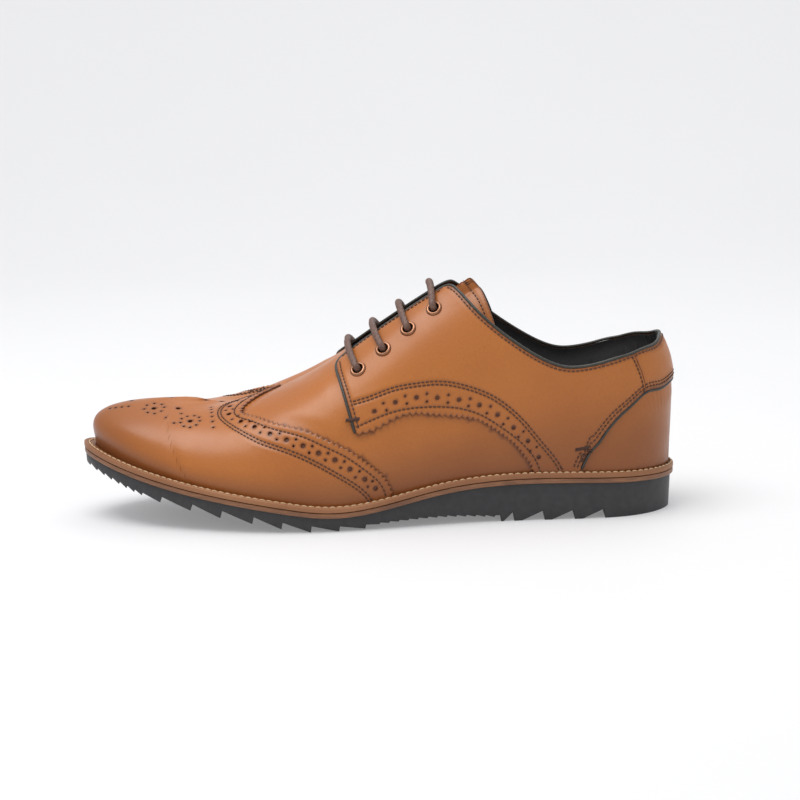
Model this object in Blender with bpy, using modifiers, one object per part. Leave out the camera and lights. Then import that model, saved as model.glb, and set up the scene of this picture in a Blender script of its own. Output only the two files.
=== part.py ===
"""A man's wing-tip derby shoe, left foot, with open lacing and a saw-tooth wedge sole.

Run with blender --background --python part.py. Lengths are in metres. The toe points to -X, the outer
side of the foot is -Y, and the sole stands on Z = 0.

Every piece of the upper is cut as a flat pattern and then laid over the last. A pattern point is (x, t):
x runs along the shoe, and t runs from 0 on the centre line to -1 at the outer feather edge, where the
upper meets the welt, and to +1 at the inner one. Past 1 is the margin that goes down inside the welt.
"""
from math import cos, pi, sin

import bmesh
import bpy
import numpy as np
from mathutils import Matrix, Vector
from mathutils.geometry import delaunay_2d_cdt

MM = 0.001

# The last. Points are in millimetres.
FEATHER_OUTLINE = [  # (x, y) where the upper meets the welt, from the toe round the outer side
    (-143.5, 5), (-136, -11), (-119, -25.5), (-92, -38.5), (-60, -46.5), (-28, -47.5), (10, -42), (50, -35),
    (90, -33), (122, -30), (140.5, -18), (148, 0), (140.5, 18), (122, 29), (90, 30), (50, 29), (10, 33),
    (-28, 42.8), (-60, 47.9), (-92, 45), (-119, 35.5), (-136, 20),
]
FEATHER_HEIGHT = [  # (x, z) of the feather edge, which is the top of the welt
    (-150, 38.5), (-121, 29.8), (-84, 21.5), (-47, 15.2), (-25, 12.5), (-4, 14), (28, 20.5), (60, 24),
    (104, 24), (150, 22.3),
]
RIDGE_HEIGHT = [  # (x, z) of the top of the foot
    (-105, 64.9), (-92, 58.8), (-75, 55.5), (-55, 60.8), (-30, 72.6), (0, 93.6), (30, 114.5), (50, 126),
    (75, 135.4), (104, 142.6),
]
RIDGE_LINE = [(-70, 9.0), (-50, 11.8), (-20, 5.0), (10, 1.0), (40, 0)]  # (x, y) of it between its ends
RIDGE_ENDS = (-92.0, 104.0)
CROSS_SECTION = [  # (x, squareness, bulge over the feather edge)
    (-150, 3.85, 0.11), (-100, 1.85, 0.09), (-50, 1.85, 0.06), (0, 2.05, 0.05), (50, 2.1, 0.06),
    (100, 2.5, 0.08), (150, 2.9, 0.18),
]
HEEL_CURL = 5.0  # how far the top of the heel leans in, above CURL_FROM and behind CURL_START
CURL_FROM, CURL_HEIGHT, CURL_START, CURL_LENGTH = 66.0, 22.0, 112.0, 36.0
MARGIN = 1.035  # t at the lower edge of every piece of the upper
MARGIN_DROP = 60.0  # how fast the margin goes down with t

# The layers of the upper: (lift of the outer face over the last, thickness), in millimetres
OVER = (1.0, 1.0)  # cap and quarters
UNDER = (-1.3, 0.6)  # vamp and foxing
STIFFENING = (-2.75, 0.5)
LINING = (-4.0, 0.8)
TONGUE_CENTRE, TONGUE_SIDE = -5.6, -10.6  # the tongue stands up between the facings
TONGUE_THICKNESS, TONGUE_LINING_DROP, TONGUE_LINING_THICKNESS = 1.2, 2.3, 0.8

# The sole
WELT_OVERHANG = [(-150, 7.5), (-100, 5.6), (-60, 5.3), (0, 5.2), (60, 3.6), (150, 2.7)]  # (x, past the upper)
WELT_THICKNESS, MIDSOLE_THICKNESS, LAYER_GAP = 2.6, 2.5, 0.3
WELT_OPENING = 1.9  # from the feather outline to the welt's inner edge
TREAD_FRONT = [  # (x, z) of the tips of the forepart's teeth, whose steep faces look back
    (-147, 27.3), (-143, 25.6), (-139, 24), (-135, 22.4), (-131, 20.8), (-127, 19.2), (-123, 17.7),
    (-119, 16.4), (-109.5, 13.6), (-94, 10.4), (-79, 7.2), (-63, 4.6), (-48.5, 1.9), (-34, 0), (-20, 0),
    (-7, 0.8),
]
TOOTH_DEPTH = [(-150, 1.1), (-119, 1.4), (-109, 3.2), (-79, 4.0), (-34, 3.2), (-7, 2.0)]
TREAD_WAIST = [(0, 2.6), (12, 3.4), (28, 3.9), (44, 3.4), (58, 2.4)]  # (x, z) under the arch
WAIST_TOOTH = 0.8
HEEL_BREAST = 61.0
HEEL_NOTCHES = [67.6, 82.9, 98.1, 113.5]  # x of each notch's upright back face
HEEL_NOTCH_DEPTH, HEEL_NOTCH_LENGTH = 5.0, 11.5
HEEL_BACK = [(147.5, 0), (150, 1.2), (155, 4.0)]

# The lacing
EYELETS = [(-7.0, 0.387), (4.8, 0.347), (16.5, 0.305), (28.8, 0.264)]  # pattern points, outer side
EYELET_HOLE, EYELET_BARREL, EYELET_FLANGE, PANEL_HOLE = 2.1, 2.5, 3.75, 3.5  # radii
LACE_RADIUS = 1.45
LACE_OUTSIDE, LACE_INSIDE = 3.6, -8.0  # lift of the lace's centre line
BAR_LEAN = [5.0, 4.3, 2.6, -0.6]  # how far forward each bar crosses the centre line
AGLET_LENGTH, AGLET_RADIUS, AGLET_GAP = 18.0, 1.3, 0.4

LACE_BYPASS = 0.1  # how far the lace keeps from a row that it passes inside
LACE_IN_HOLE = [1.6, -1.6, -4.8]  # lifts on the way down through an eyelet
LACE_TAIL_FRONT = [(-26, 0.66), (-17, 0.65), (-8, 0.61), (0, 0.55), (8, 0.47), (13, 0.38)]
LACE_TAIL_BACK = [(32, 0.35), (37, 0.45), (43, 0.54), (50, 0.62), (57, 0.68)]
LACE_STEP = 3.0

# The piping along the edges
PIPING_OUT, PIPING_RADIUS, PIPING_LIFT, PIPING_STEP = 1.3, 0.8, 0.3, 4.0
COUNTER_PIPING_OUT, COUNTER_PIPING_RADIUS, COUNTER_PIPING_LIFT = 1.1, 0.6, 0.1
TACK_RADIUS, TACK_LIFT = 0.45, 0.75

# What lies between the sole and the foot: faces measured from the feather height
FILLER_INSET, FILLER_TOP = 5.3, -0.2
SHANK, SHANK_HALF, SHANK_FACES, SHANK_ROOM = (8.0, 92.0), 6.5, (-2.2, -1.0), 0.4
BOARD_FACES = (0.1, 2.1)
HEEL_PAD_FRONT, HEEL_PAD_INSET, HEEL_PAD_FACES = 78.0, 8.5, (2.4, 4.2)
SOCK_INSET, SOCK_FACES, SOCK_STEP = 6.2, (2.4, 3.4), 2.2

PATTERN_STEP = 6.0  # between the points of a laid pattern
SOLE_POINTS, INNER_SOLE_POINTS = 110, 80  # round a sole outline
HALF_BLOCK, BLOCK_BOTTOM, BLOCK_TOP = 70.0, -30.0, 95.0  # blanks that reach past the sole on every side
SOLE_START, SOLE_END = -160.0, 160.0


def smooth(knots, at):
    """A natural cubic through the knots (position, values...), read at the given positions."""
    knots = np.array(knots, float)
    where, values = knots[:, 0], knots[:, 1:]
    gap = np.diff(where)
    slope = np.diff(values, axis=0) / gap[:, None]
    system = np.eye(len(where))
    bend = np.zeros_like(values)
    for i in range(1, len(where) - 1):
        system[i, i - 1 : i + 2] = gap[i - 1], 2 * (gap[i - 1] + gap[i]), gap[i]
        bend[i] = 6 * (slope[i] - slope[i - 1])
    bend = np.linalg.solve(system, bend)
    at = np.asarray(at, float)
    i = np.clip(np.searchsorted(where, at, side="right") - 1, 0, len(where) - 2)
    after, before, span = (at - where[i])[..., None], (where[i + 1] - at)[..., None], gap[i][..., None]
    cubic = (bend[i] * before**3 + bend[i + 1] * after**3) / (6 * span)
    return (
        cubic
        + (values[i] / span - bend[i] * span / 6) * before
        + (values[i + 1] / span - bend[i + 1] * span / 6) * after
    )


def along(points, step):
    """Evenly spaced points on a smooth curve through the given ones."""
    points = np.array(points, float)
    if len(points) == 2:
        count = max(1, round(float(np.linalg.norm(points[1] - points[0])) / step))
        return points[0] + (points[1] - points[0]) * np.linspace(0, 1, count + 1)[:, None]
    chord = np.concatenate([[0], np.cumsum(np.linalg.norm(np.diff(points, axis=0), axis=1) ** 0.5)])
    fine = smooth(np.column_stack([chord, points]), np.linspace(0, chord[-1], 1200))
    length = np.concatenate([[0], np.cumsum(np.linalg.norm(np.diff(fine, axis=0), axis=1))])
    count = max(2, round(length[-1] / step))
    at = np.linspace(0, length[-1], count + 1)
    return np.column_stack([np.interp(at, length, fine[:, k]) for k in range(points.shape[1])])


def outline_halves():
    """The feather outline's outer and inner sides, each from the toe's tip to the heel's, and all of it."""
    wrap = 4
    ring = along(FEATHER_OUTLINE[-wrap:] + FEATHER_OUTLINE + FEATHER_OUTLINE[: wrap + 1], 0.25)
    from_start = np.linalg.norm(ring - FEATHER_OUTLINE[0], axis=1)
    half = len(ring) // 2
    loop = ring[from_start[:half].argmin() : half + from_start[half:].argmin()]
    loop = np.roll(loop, -loop[:, 0].argmin(), axis=0)
    heel = loop[:, 0].argmax()
    return loop[: heel + 1], np.vstack([loop[heel:], loop[:1]])[::-1], loop


OUTER, INNER, FEATHER_LOOP = outline_halves()
TOE, HEEL = OUTER[0], OUTER[-1]
RIDGE_MIDDLE, RIDGE_HALF = sum(RIDGE_ENDS) / 2, (RIDGE_ENDS[1] - RIDGE_ENDS[0]) / 2
OUTLINE_MIDDLE, OUTLINE_HALF = (TOE[0] + HEEL[0]) / 2, (HEEL[0] - TOE[0]) / 2


def edge_x(turn):
    return OUTLINE_MIDDLE - OUTLINE_HALF * np.cos(turn)


def edge_y(turn, inner):
    x = edge_x(turn)
    return np.where(inner, np.interp(x, INNER[:, 0], INNER[:, 1]), np.interp(x, OUTER[:, 0], OUTER[:, 1]))


def ridge_x(turn):
    return RIDGE_MIDDLE - RIDGE_HALF * np.cos(turn)


def ridge_y(x):
    return smooth([(RIDGE_ENDS[0], TOE[1]), *RIDGE_LINE, (RIDGE_ENDS[1], HEEL[1])], x)[..., 0]


def feather_z(x):
    return smooth(FEATHER_HEIGHT, x)[..., 0]


def turn_at(x, share):
    """The angle round the last, 0 at the toe and pi at the heel, of a point at this x and share |t|."""
    middle = RIDGE_MIDDLE * (1 - share) + OUTLINE_MIDDLE * share
    reach = RIDGE_HALF * (1 - share) + OUTLINE_HALF * share
    return np.arccos(np.clip((middle - x) / reach, -1, 1))


def half_width(turn, inner):
    return np.abs(edge_y(turn, inner) - ridge_y(ridge_x(turn)))


def flat(points):
    """Pattern points (x, t) as points on the flat pattern, in millimetres."""
    x, t = np.array(points, float).T
    return np.column_stack([x, t * half_width(turn_at(x, np.abs(t)), t > 0)])


def on_last(points, lift=0.0):
    """Flat points laid over the last, lifted off it along its normal. Millimetres in and out."""
    points = np.array(points, float)
    step = 0.4
    ahead, behind = surface(points + (step, 0)), surface(points - (step, 0))
    left, right = surface(points + (0, step)), surface(points - (0, step))
    normal = np.cross(ahead - behind, left - right)
    normal /= np.linalg.norm(normal, axis=1, keepdims=True)
    return surface(points) + normal * np.reshape(lift, (-1, 1))


def surface(points):
    x, y = points[:, 0], points[:, 1]
    inner, across = y > 0, np.abs(y) + 1e-9
    low, high = np.zeros(len(x)), np.full(len(x), 1.3)
    for _ in range(40):
        share = (low + high) / 2
        short = share * half_width(turn_at(x, share), inner) < across
        low, high = np.where(short, share, low), np.where(short, high, share)
    share = (low + high) / 2
    turn = turn_at(x, share)
    rise = np.clip(1 - share, 0, 1) * pi / 2
    squareness, bulge = (
        np.interp(edge_x(turn), [k[0] for k in CROSS_SECTION], [k[c] for k in CROSS_SECTION]) for c in (1, 2)
    )
    out = np.cos(rise) ** (2 / squareness) + bulge * np.sin(2 * rise) * np.clip(share, 0, 1)
    up = np.sin(rise) ** (2 / squareness)
    spine = ridge_x(turn)
    base, top = feather_z(edge_x(turn)), smooth(RIDGE_HEIGHT, spine)[..., 0]
    drop = np.clip(share - 1, 0, 1) * MARGIN_DROP
    x, y = spine + (edge_x(turn) - spine) * out, ridge_y(spine) + (edge_y(turn, inner) - ridge_y(spine)) * out
    z = base + (top - base) * up - drop
    curl = np.clip((z - CURL_FROM) / CURL_HEIGHT, 0, None) ** 2
    curl *= np.clip((x - CURL_START) / CURL_LENGTH, 0, 1) ** 2
    return np.column_stack([x - HEEL_CURL * curl, y, z])


def back_centre(share):
    """The pattern point on the heel's centre line at this height."""
    return (float(RIDGE_ENDS[1] * (1 - share) + HEEL[0] * share), -share)


# Patterns: runs of pattern points (x, t) for the outer side. A new run starts at each corner.
CAP_BACK = [
    (-49.3, 0), (-57.8, -0.158), (-63.4, -0.362), (-56.2, -0.449), (-46.1, -0.534), (-31.6, -0.624),
    (-22.7, -0.695), (-13.5, -0.768), (-4.1, -0.856), (2.3, -0.921), (6.0, -0.986), (6.6, -MARGIN),
]
VAMP_FRONT = [
    (-57, 0), (-64.5, -0.16), (-71.9, -0.333), (-63.0, -0.489), (-50.7, -0.597), (-36.1, -0.688),
    (-26.9, -0.759), (-17.9, -0.836), (-9.0, -0.920), (-3.0, -0.984), (-2, -MARGIN),
]
VAMP_BACK = [
    (-14.5, 0), (-14.8, -0.214), (-13.8, -0.415), (-9.5, -0.563), (0.1, -0.634), (11.0, -0.650),
    (22.0, -0.665), (34, -0.69), (46, -0.74), (54, -0.78), (62, -0.82), (72, -0.885), (80, -0.95),
    (86, -MARGIN),
]
FACING_FRONT = [(-8.7, -0.705), (-12.2, -0.536), (-15.9, -0.358), (-17.6, -0.234), (-15.9, -0.173)]
FACING_EDGE = [(-15.9, -0.173), (-3.1, -0.139), (9.5, -0.129), (22.0, -0.123), (32.5, -0.122)]
FACING_TOP = [(32.5, -0.122), (36.5, -0.14), (39, -0.2)]
TOPLINE = [
    (39, -0.2), (44.1, -0.334), (53.6, -0.49), (70.9, -0.65), (85.3, -0.726), (94.4, -0.744), (104, -0.746),
    (112.3, -0.742), (118.5, -0.740), (127.7, -0.737), (133.6, -0.73), back_centre(0.722),
]
TAB_DROP, TAB_CORNER = 0.015, (120.2, -0.755)  # the tab's top edge stays under the topline
TAB_SEAM_AT = 8  # the topline point where the quarter ends and the back tab starts
TAB_SEAM = [(118.5, -0.740), (127.4, -0.854)]
COUNTER_SEAM = [
    (127.4, -0.854), (121.6, -0.876), (115.7, -0.901), (111, -0.929), (107.7, -0.953), (104.8, -0.966),
    (101, -0.997), (100, -MARGIN),
]
COUNTER_BACK = [(127.4, -0.854), (132.5, -0.855), (137.5, -0.853), back_centre(0.848)]
QUARTER_FOOT = [
    (77.8, -MARGIN), (77.5, -0.999), (75.1, -0.977), (68.6, -0.934), (60.3, -0.886), (52, -0.839),
    (44.6, -0.807), (33.8, -0.773), (22.9, -0.736), (12.2, -0.707), (2.8, -0.714), (-3.7, -0.716),
    (-8.7, -0.705),
]
STAY_FRONT = [(-8, -0.55), (-12, -0.44), (-14, -0.3), (-14.5, -0.145)]
STAY_BACK = [(32.5, -0.122), (36.5, -0.2), (36, -0.36), (20, -0.44), (4, -0.5), (-8, -0.55)]
STIFFENER_TOP = [(80, -MARGIN), (84, -0.97), (98, -0.89), (114, -0.85), (128, -0.84), back_centre(0.84)]
FOXING_TOP = [
    (96, -MARGIN), (97.5, -0.99), (100.8, -0.955), (104.5, -0.925), (109, -0.893), (113.8, -0.865),
    (119.6, -0.837), (126.4, -0.816), (132.4, -0.813), back_centre(0.812),
]
PUFF_BACK = [(-96, -MARGIN), (-92, -0.9), (-86, -0.6), (-83, -0.3), (-82, 0)]
TONGUE_SIDE_EDGE = [(-19, -0.28), (-6, -0.36), (6, -0.42), (20, -0.47), (34, -0.53), (46, -0.57), (57, -0.56)]
TONGUE_END = [(57, -0.56), (50.5, -0.3), (45.5, 0)]
TONGUE_FRONT = [(-19, 0.28), (-21, 0), (-19, -0.28)]
VAMP_LINING_BACK = [(-2, -MARGIN), (-5, -0.8), (-11, -0.5), (-15, -0.2), (-12, 0)]
QUARTER_LINING_FRONT = [(0.8, -MARGIN), (-2.2, -0.8), (-8.2, -0.5), (-13.2, -0.15)]


def mirrored(run):
    """The same run on the inner side, walked the other way."""
    return [(x, -t) for x, t in reversed(run)]


def foot_line(start, end):
    """A run along the margin between two x positions."""
    count = max(2, int(abs(end - start) / 12))
    return [(x, -MARGIN) for x in np.linspace(start, end, count + 1)]


def toe_line(start):
    """The margin round the toe, from the outer side to the inner one."""
    first = float(turn_at(start, MARGIN))
    reach = RIDGE_HALF * (1 - MARGIN) + OUTLINE_HALF * MARGIN
    middle = RIDGE_MIDDLE * (1 - MARGIN) + OUTLINE_MIDDLE * MARGIN
    half = [(middle - reach * cos(first * k / 14), -MARGIN) for k in range(14, 0, -1)]
    return half + [(middle - reach, 0.0)] + mirrored(half)


def heel_line(start):
    """The margin round the heel, from the inner side to the outer one."""
    first = float(turn_at(start, MARGIN))
    reach = RIDGE_HALF * (1 - MARGIN) + OUTLINE_HALF * MARGIN
    middle = RIDGE_MIDDLE * (1 - MARGIN) + OUTLINE_MIDDLE * MARGIN
    half = [(middle - reach * cos(first + (pi - first) * k / 10), MARGIN) for k in range(10)]
    return half + [(middle + reach, 0.0)] + mirrored(half)


def outline(runs, inset=0.0, step=PATTERN_STEP):
    """A closed flat outline through runs of pattern points, moved inwards by inset."""
    loop = []
    for run in runs:
        points = flat(run) if not isinstance(run, np.ndarray) else run
        loop.extend(along(points, step)[:-1])
    loop = np.array(loop)
    if not inset:
        return loop
    before, after = np.roll(loop, 1, axis=0), np.roll(loop, -1, axis=0)
    way = after - before
    way /= np.linalg.norm(way, axis=1, keepdims=True)
    side = np.column_stack([-way[:, 1], way[:, 0]])
    area = np.sum(loop[:, 0] * after[:, 1] - after[:, 0] * loop[:, 1])
    return loop + side * inset * np.sign(area)


def inside(points, loop):
    """Which points lie inside a closed loop."""
    x, y = points[:, 0, None], points[:, 1, None]
    ax, ay = loop[:, 0], loop[:, 1]
    bx, by = np.roll(ax, -1), np.roll(ay, -1)
    spans = (ay > y) != (by > y)
    rise = np.where(by == ay, 1e-12, by - ay)
    return (spans & (x < ax + (y - ay) * (bx - ax) / rise)).sum(axis=1) % 2 == 1


def distance_to(points, loop):
    start, way = loop, np.roll(loop, -1, axis=0) - loop
    offset = points[:, None] - start
    share = np.clip((offset * way).sum(-1) / (way * way).sum(-1), 0, 1)
    return np.linalg.norm(offset - share[..., None] * way, axis=-1).min(axis=1)


def cut_pattern(loops, step=PATTERN_STEP):
    """Triangles that fill the first loop and leave the others open, with points all over."""
    x, y = np.meshgrid(np.arange(-170, 170, step), np.arange(-70, 70, step * 0.866))
    x = x + (np.arange(len(x)) % 2)[:, None] * step / 2
    grid = np.column_stack([x.ravel(), y.ravel()])
    keep = inside(grid, loops[0])
    for loop in loops:
        keep &= distance_to(grid, loop) > 0.45 * step
    for loop in loops[1:]:
        keep &= ~inside(grid, loop)
    points, edges = list(grid[keep]), []
    for loop in loops:
        first = len(points)
        points.extend(loop)
        edges += [(first + k, first + (k + 1) % len(loop)) for k in range(len(loop))]
    vertices, _, faces = delaunay_2d_cdt([Vector(p) for p in points], edges, [], 1, 1e-4)[:3]
    vertices = np.array([tuple(v) for v in vertices])
    centres = vertices[np.array(faces)].mean(axis=1)
    open_here = np.zeros(len(faces), bool)
    for loop in loops[1:]:
        open_here |= inside(centres, loop)
    return vertices, [face for face, skip in zip(faces, open_here) if not skip]


def mesh_object(name, points, faces, material, smooth_faces=True):
    """A mesh object from points in millimetres."""
    mesh = bpy.data.meshes.new(name)
    mesh.from_pydata((np.asarray(points) * MM).tolist(), [], [list(f) for f in faces])
    if smooth_faces:
        mesh.shade_smooth()
    thing = bpy.data.objects.new(name, mesh)
    mesh.materials.append(material)
    SHOE.objects.link(thing)
    return thing


def leather(name, runs, layer, material, holes=(), inset=0.0):
    """A flat pattern piece laid over the last and given its thickness, with round holes in it."""
    lift, thickness = layer
    loops = [outline(runs, inset)] + [hole_loop(x, t) for x, t in holes]
    points, faces = cut_pattern(loops)
    height = lift(points) if callable(lift) else lift
    piece = mesh_object(name, on_last(points, height), faces, material)
    solid = piece.modifiers.new("thickness", "SOLIDIFY")
    solid.thickness = thickness * MM
    solid.offset = -1
    solid.use_even_offset = True
    solid.use_quality_normals = True
    return piece


def metric(point):
    """Two flat steps that are each a millimetre long on the last: one along the shoe, one across it."""
    point = np.array([point])
    along_x = (surface(point + (0.5, 0)) - surface(point - (0.5, 0)))[0]
    across = (surface(point + (0, 0.5)) - surface(point - (0, 0.5)))[0]
    length = np.linalg.norm(along_x)
    skew = across @ along_x / length
    square = np.linalg.norm(across - along_x / length * skew)
    return np.array([1 / length, 0]), np.array([-skew / length / square, 1 / square])


def hole_loop(x, t, radius=PANEL_HOLE, sides=10):
    centre = flat([(x, t)])[0]
    first, second = metric(centre)
    turns = [2 * pi * k / sides for k in range(sides)]
    return np.array([centre + first * radius * cos(a) + second * radius * sin(a) for a in turns])


def sole_outline(overhang=0.0, follow_welt=1.0, count=SOLE_POINTS):
    """The feather outline moved out by the welt's overhang times follow_welt, plus overhang."""
    loop = np.vstack([FEATHER_LOOP, FEATHER_LOOP[:1]])
    length = np.concatenate([[0], np.cumsum(np.linalg.norm(np.diff(loop, axis=0), axis=1))])
    at = np.linspace(0, length[-1], count, endpoint=False)
    points = np.column_stack([np.interp(at, length, loop[:, k]) for k in (0, 1)])
    way = np.roll(points, -1, axis=0) - np.roll(points, 1, axis=0)
    way /= np.linalg.norm(way, axis=1, keepdims=True)
    out = np.column_stack([way[:, 1], -way[:, 0]])
    reach = smooth(WELT_OVERHANG, points[:, 0]) * follow_welt + overhang
    return points + out * reach


def prism(name, lower, upper, bottom, top, material):
    """A closed solid between two flat outlines with the same number of points."""
    count = len(lower)
    points = [(x, y, bottom) for x, y in lower] + [(x, y, top) for x, y in upper]
    sides = [(k, (k + 1) % count, count + (k + 1) % count, count + k) for k in range(count)]
    faces = [tuple(range(count))[::-1], tuple(range(count, 2 * count))] + sides
    return faced(mesh_object(name, points, faces, material, False))


def slab(name, profile, material, half=HALF_BLOCK):
    """A side profile (x, z) carried straight across the shoe."""
    count = len(profile)
    points = [(x, -half, z) for x, z in profile] + [(x, half, z) for x, z in profile]
    sides = [(k, (k + 1) % count, count + (k + 1) % count, count + k) for k in range(count)]
    faces = [tuple(range(count))[::-1], tuple(range(count, 2 * count))] + sides
    return faced(mesh_object(name, points, faces, material, False))


def faced(thing):
    """Turns every face outwards."""
    shape = bmesh.new()
    shape.from_mesh(thing.data)
    bmesh.ops.recalc_face_normals(shape, faces=shape.faces)
    shape.to_mesh(thing.data)
    shape.free()
    return thing


def combine(thing, other, operation):
    """A Boolean with another object, which becomes a cutter."""
    change = thing.modifiers.new(operation.lower(), "BOOLEAN")
    change.operation = operation
    change.object = other
    for group in list(other.users_collection):
        group.objects.unlink(other)
    CUTTERS.objects.link(other)
    other.hide_render = True
    other.display_type = "WIRE"
    return thing


def layer_profile(start, end, lower, upper, step=8.0):
    """The side profile of a layer that follows the feather height. lower and upper may be functions of x."""
    x = np.linspace(start, end, max(2, int((end - start) / step)) + 1)
    under = feather_z(x) + (lower(x) if callable(lower) else lower)
    over = feather_z(x) + (upper(x) if callable(upper) else upper)
    return list(zip(x, under)) + list(zip(x[::-1], over[::-1]))


def sole_layer(name, shape, lower, upper, material, start=SOLE_START):
    """A layer of the sole: its outline, and its lower and upper face measured from the feather height."""
    body = slab(name, layer_profile(start, SOLE_END, lower, upper), material)
    cutter = prism(name + "_outline", shape, shape, BLOCK_BOTTOM, BLOCK_TOP, material)
    return combine(body, cutter, "INTERSECT")


def tread_profile():
    """The underside of the rubber, from the toe to the heel, with its teeth."""
    points = [(SOLE_START, 33.0)]
    for x, z in TREAD_FRONT:
        depth = float(np.interp(x, *np.array(TOOTH_DEPTH).T))
        points += [(x, z), (x + 0.5, z + depth)]
    for x in np.arange(0.0, HEEL_BREAST - 3, 4.8):
        z = float(smooth(TREAD_WAIST, x)[0])
        points += [(x, z), (x + 0.6, z + WAIST_TOOTH)]
    points += [(HEEL_BREAST - 0.6, 3.2), (HEEL_BREAST, 0.0)]
    for x in HEEL_NOTCHES:
        begin = max(x - HEEL_NOTCH_LENGTH, HEEL_BREAST + 1.2)
        points += [(begin, 0.0), (x - 0.2, HEEL_NOTCH_DEPTH), (x, 0.0)]
    return points + HEEL_BACK


def build_sole():
    thickness = WELT_THICKNESS + MIDSOLE_THICKNESS + 2 * LAYER_GAP
    top_x = np.linspace(SOLE_END, SOLE_START, 41)
    top = list(zip(top_x, feather_z(top_x) - thickness))
    black = material("rubber", (0.012, 0.012, 0.013), 0.62)
    rubber = slab("outsole", tread_profile() + [(SOLE_END, 8.0)] + top, black)
    lower, upper = sole_outline(-2.6), sole_outline(-0.3)
    combine(rubber, prism("outsole_outline", lower, upper, -0.5, 40, black), "INTERSECT")

    brown = material("stacked_leather", (0.16, 0.065, 0.025), 0.55)
    tan = material("welt_leather", (0.30, 0.13, 0.05), 0.5)
    under_welt = -WELT_THICKNESS - LAYER_GAP
    sole_layer("midsole", sole_outline(-0.2), under_welt - MIDSOLE_THICKNESS, under_welt, brown)
    welt = sole_layer("welt", sole_outline(), -WELT_THICKNESS, 0.0, tan)
    ring = sole_outline(WELT_OPENING, 0)
    combine(welt, prism("welt_opening", ring, ring, BLOCK_BOTTOM, BLOCK_TOP, tan), "DIFFERENCE")

    cork = material("cork", (0.35, 0.20, 0.10), 0.95)
    within = sole_outline(-FILLER_INSET, 0, INNER_SOLE_POINTS)
    filler = sole_layer("cork_filler", within, -WELT_THICKNESS, FILLER_TOP, cork)
    slot_profile = layer_profile(SHANK[0] - SHANK_ROOM, SHANK[1] + SHANK_ROOM, -6, -0.6)
    combine(filler, slab("shank_slot", slot_profile, cork, SHANK_HALF + SHANK_ROOM), "DIFFERENCE")
    steel = material("spring_steel", (0.45, 0.45, 0.47), 0.35, 1)
    slab("shank", layer_profile(*SHANK, *SHANK_FACES), steel, SHANK_HALF)
    sole_layer("insole_board", within, *BOARD_FACES, material("fibre_board", (0.42, 0.30, 0.18), 0.9))
    pad = sole_outline(-HEEL_PAD_INSET, 0, INNER_SOLE_POINTS)
    foam = material("foam", (0.06, 0.06, 0.07), 0.9)
    sole_layer("heel_pad", pad, *HEEL_PAD_FACES, foam, HEEL_PAD_FRONT)

    def over_pad(height):
        """A face that steps up over the heel pad."""
        return lambda x: height + np.clip((x - HEEL_PAD_FRONT + 10) / 8, 0, 1) * SOCK_STEP

    sock = material("sock_leather", (0.02, 0.02, 0.022), 0.6)
    profile = layer_profile(SOLE_START, SOLE_END, over_pad(SOCK_FACES[0]), over_pad(SOCK_FACES[1]), 4)
    shape = sole_outline(-SOCK_INSET, 0, INNER_SOLE_POINTS)
    cutter = prism("sock_outline", shape, shape, BLOCK_BOTTOM, BLOCK_TOP, sock)
    combine(slab("sock_liner", profile, sock), cutter, "INTERSECT")


def tongue_lift(points):
    """High between the facings and low under them."""
    share = np.clip((np.abs(points[:, 1]) - 1.0) / 7.5, 0, 1)
    ease = share * share * (3 - 2 * share)
    return TONGUE_CENTRE + (TONGUE_SIDE - TONGUE_CENTRE) * ease


def both(run_pairs):
    """Runs for the outer side, followed by the same runs mirrored on the inner side."""
    return run_pairs + [mirrored(run) for run in reversed(run_pairs)]


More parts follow.
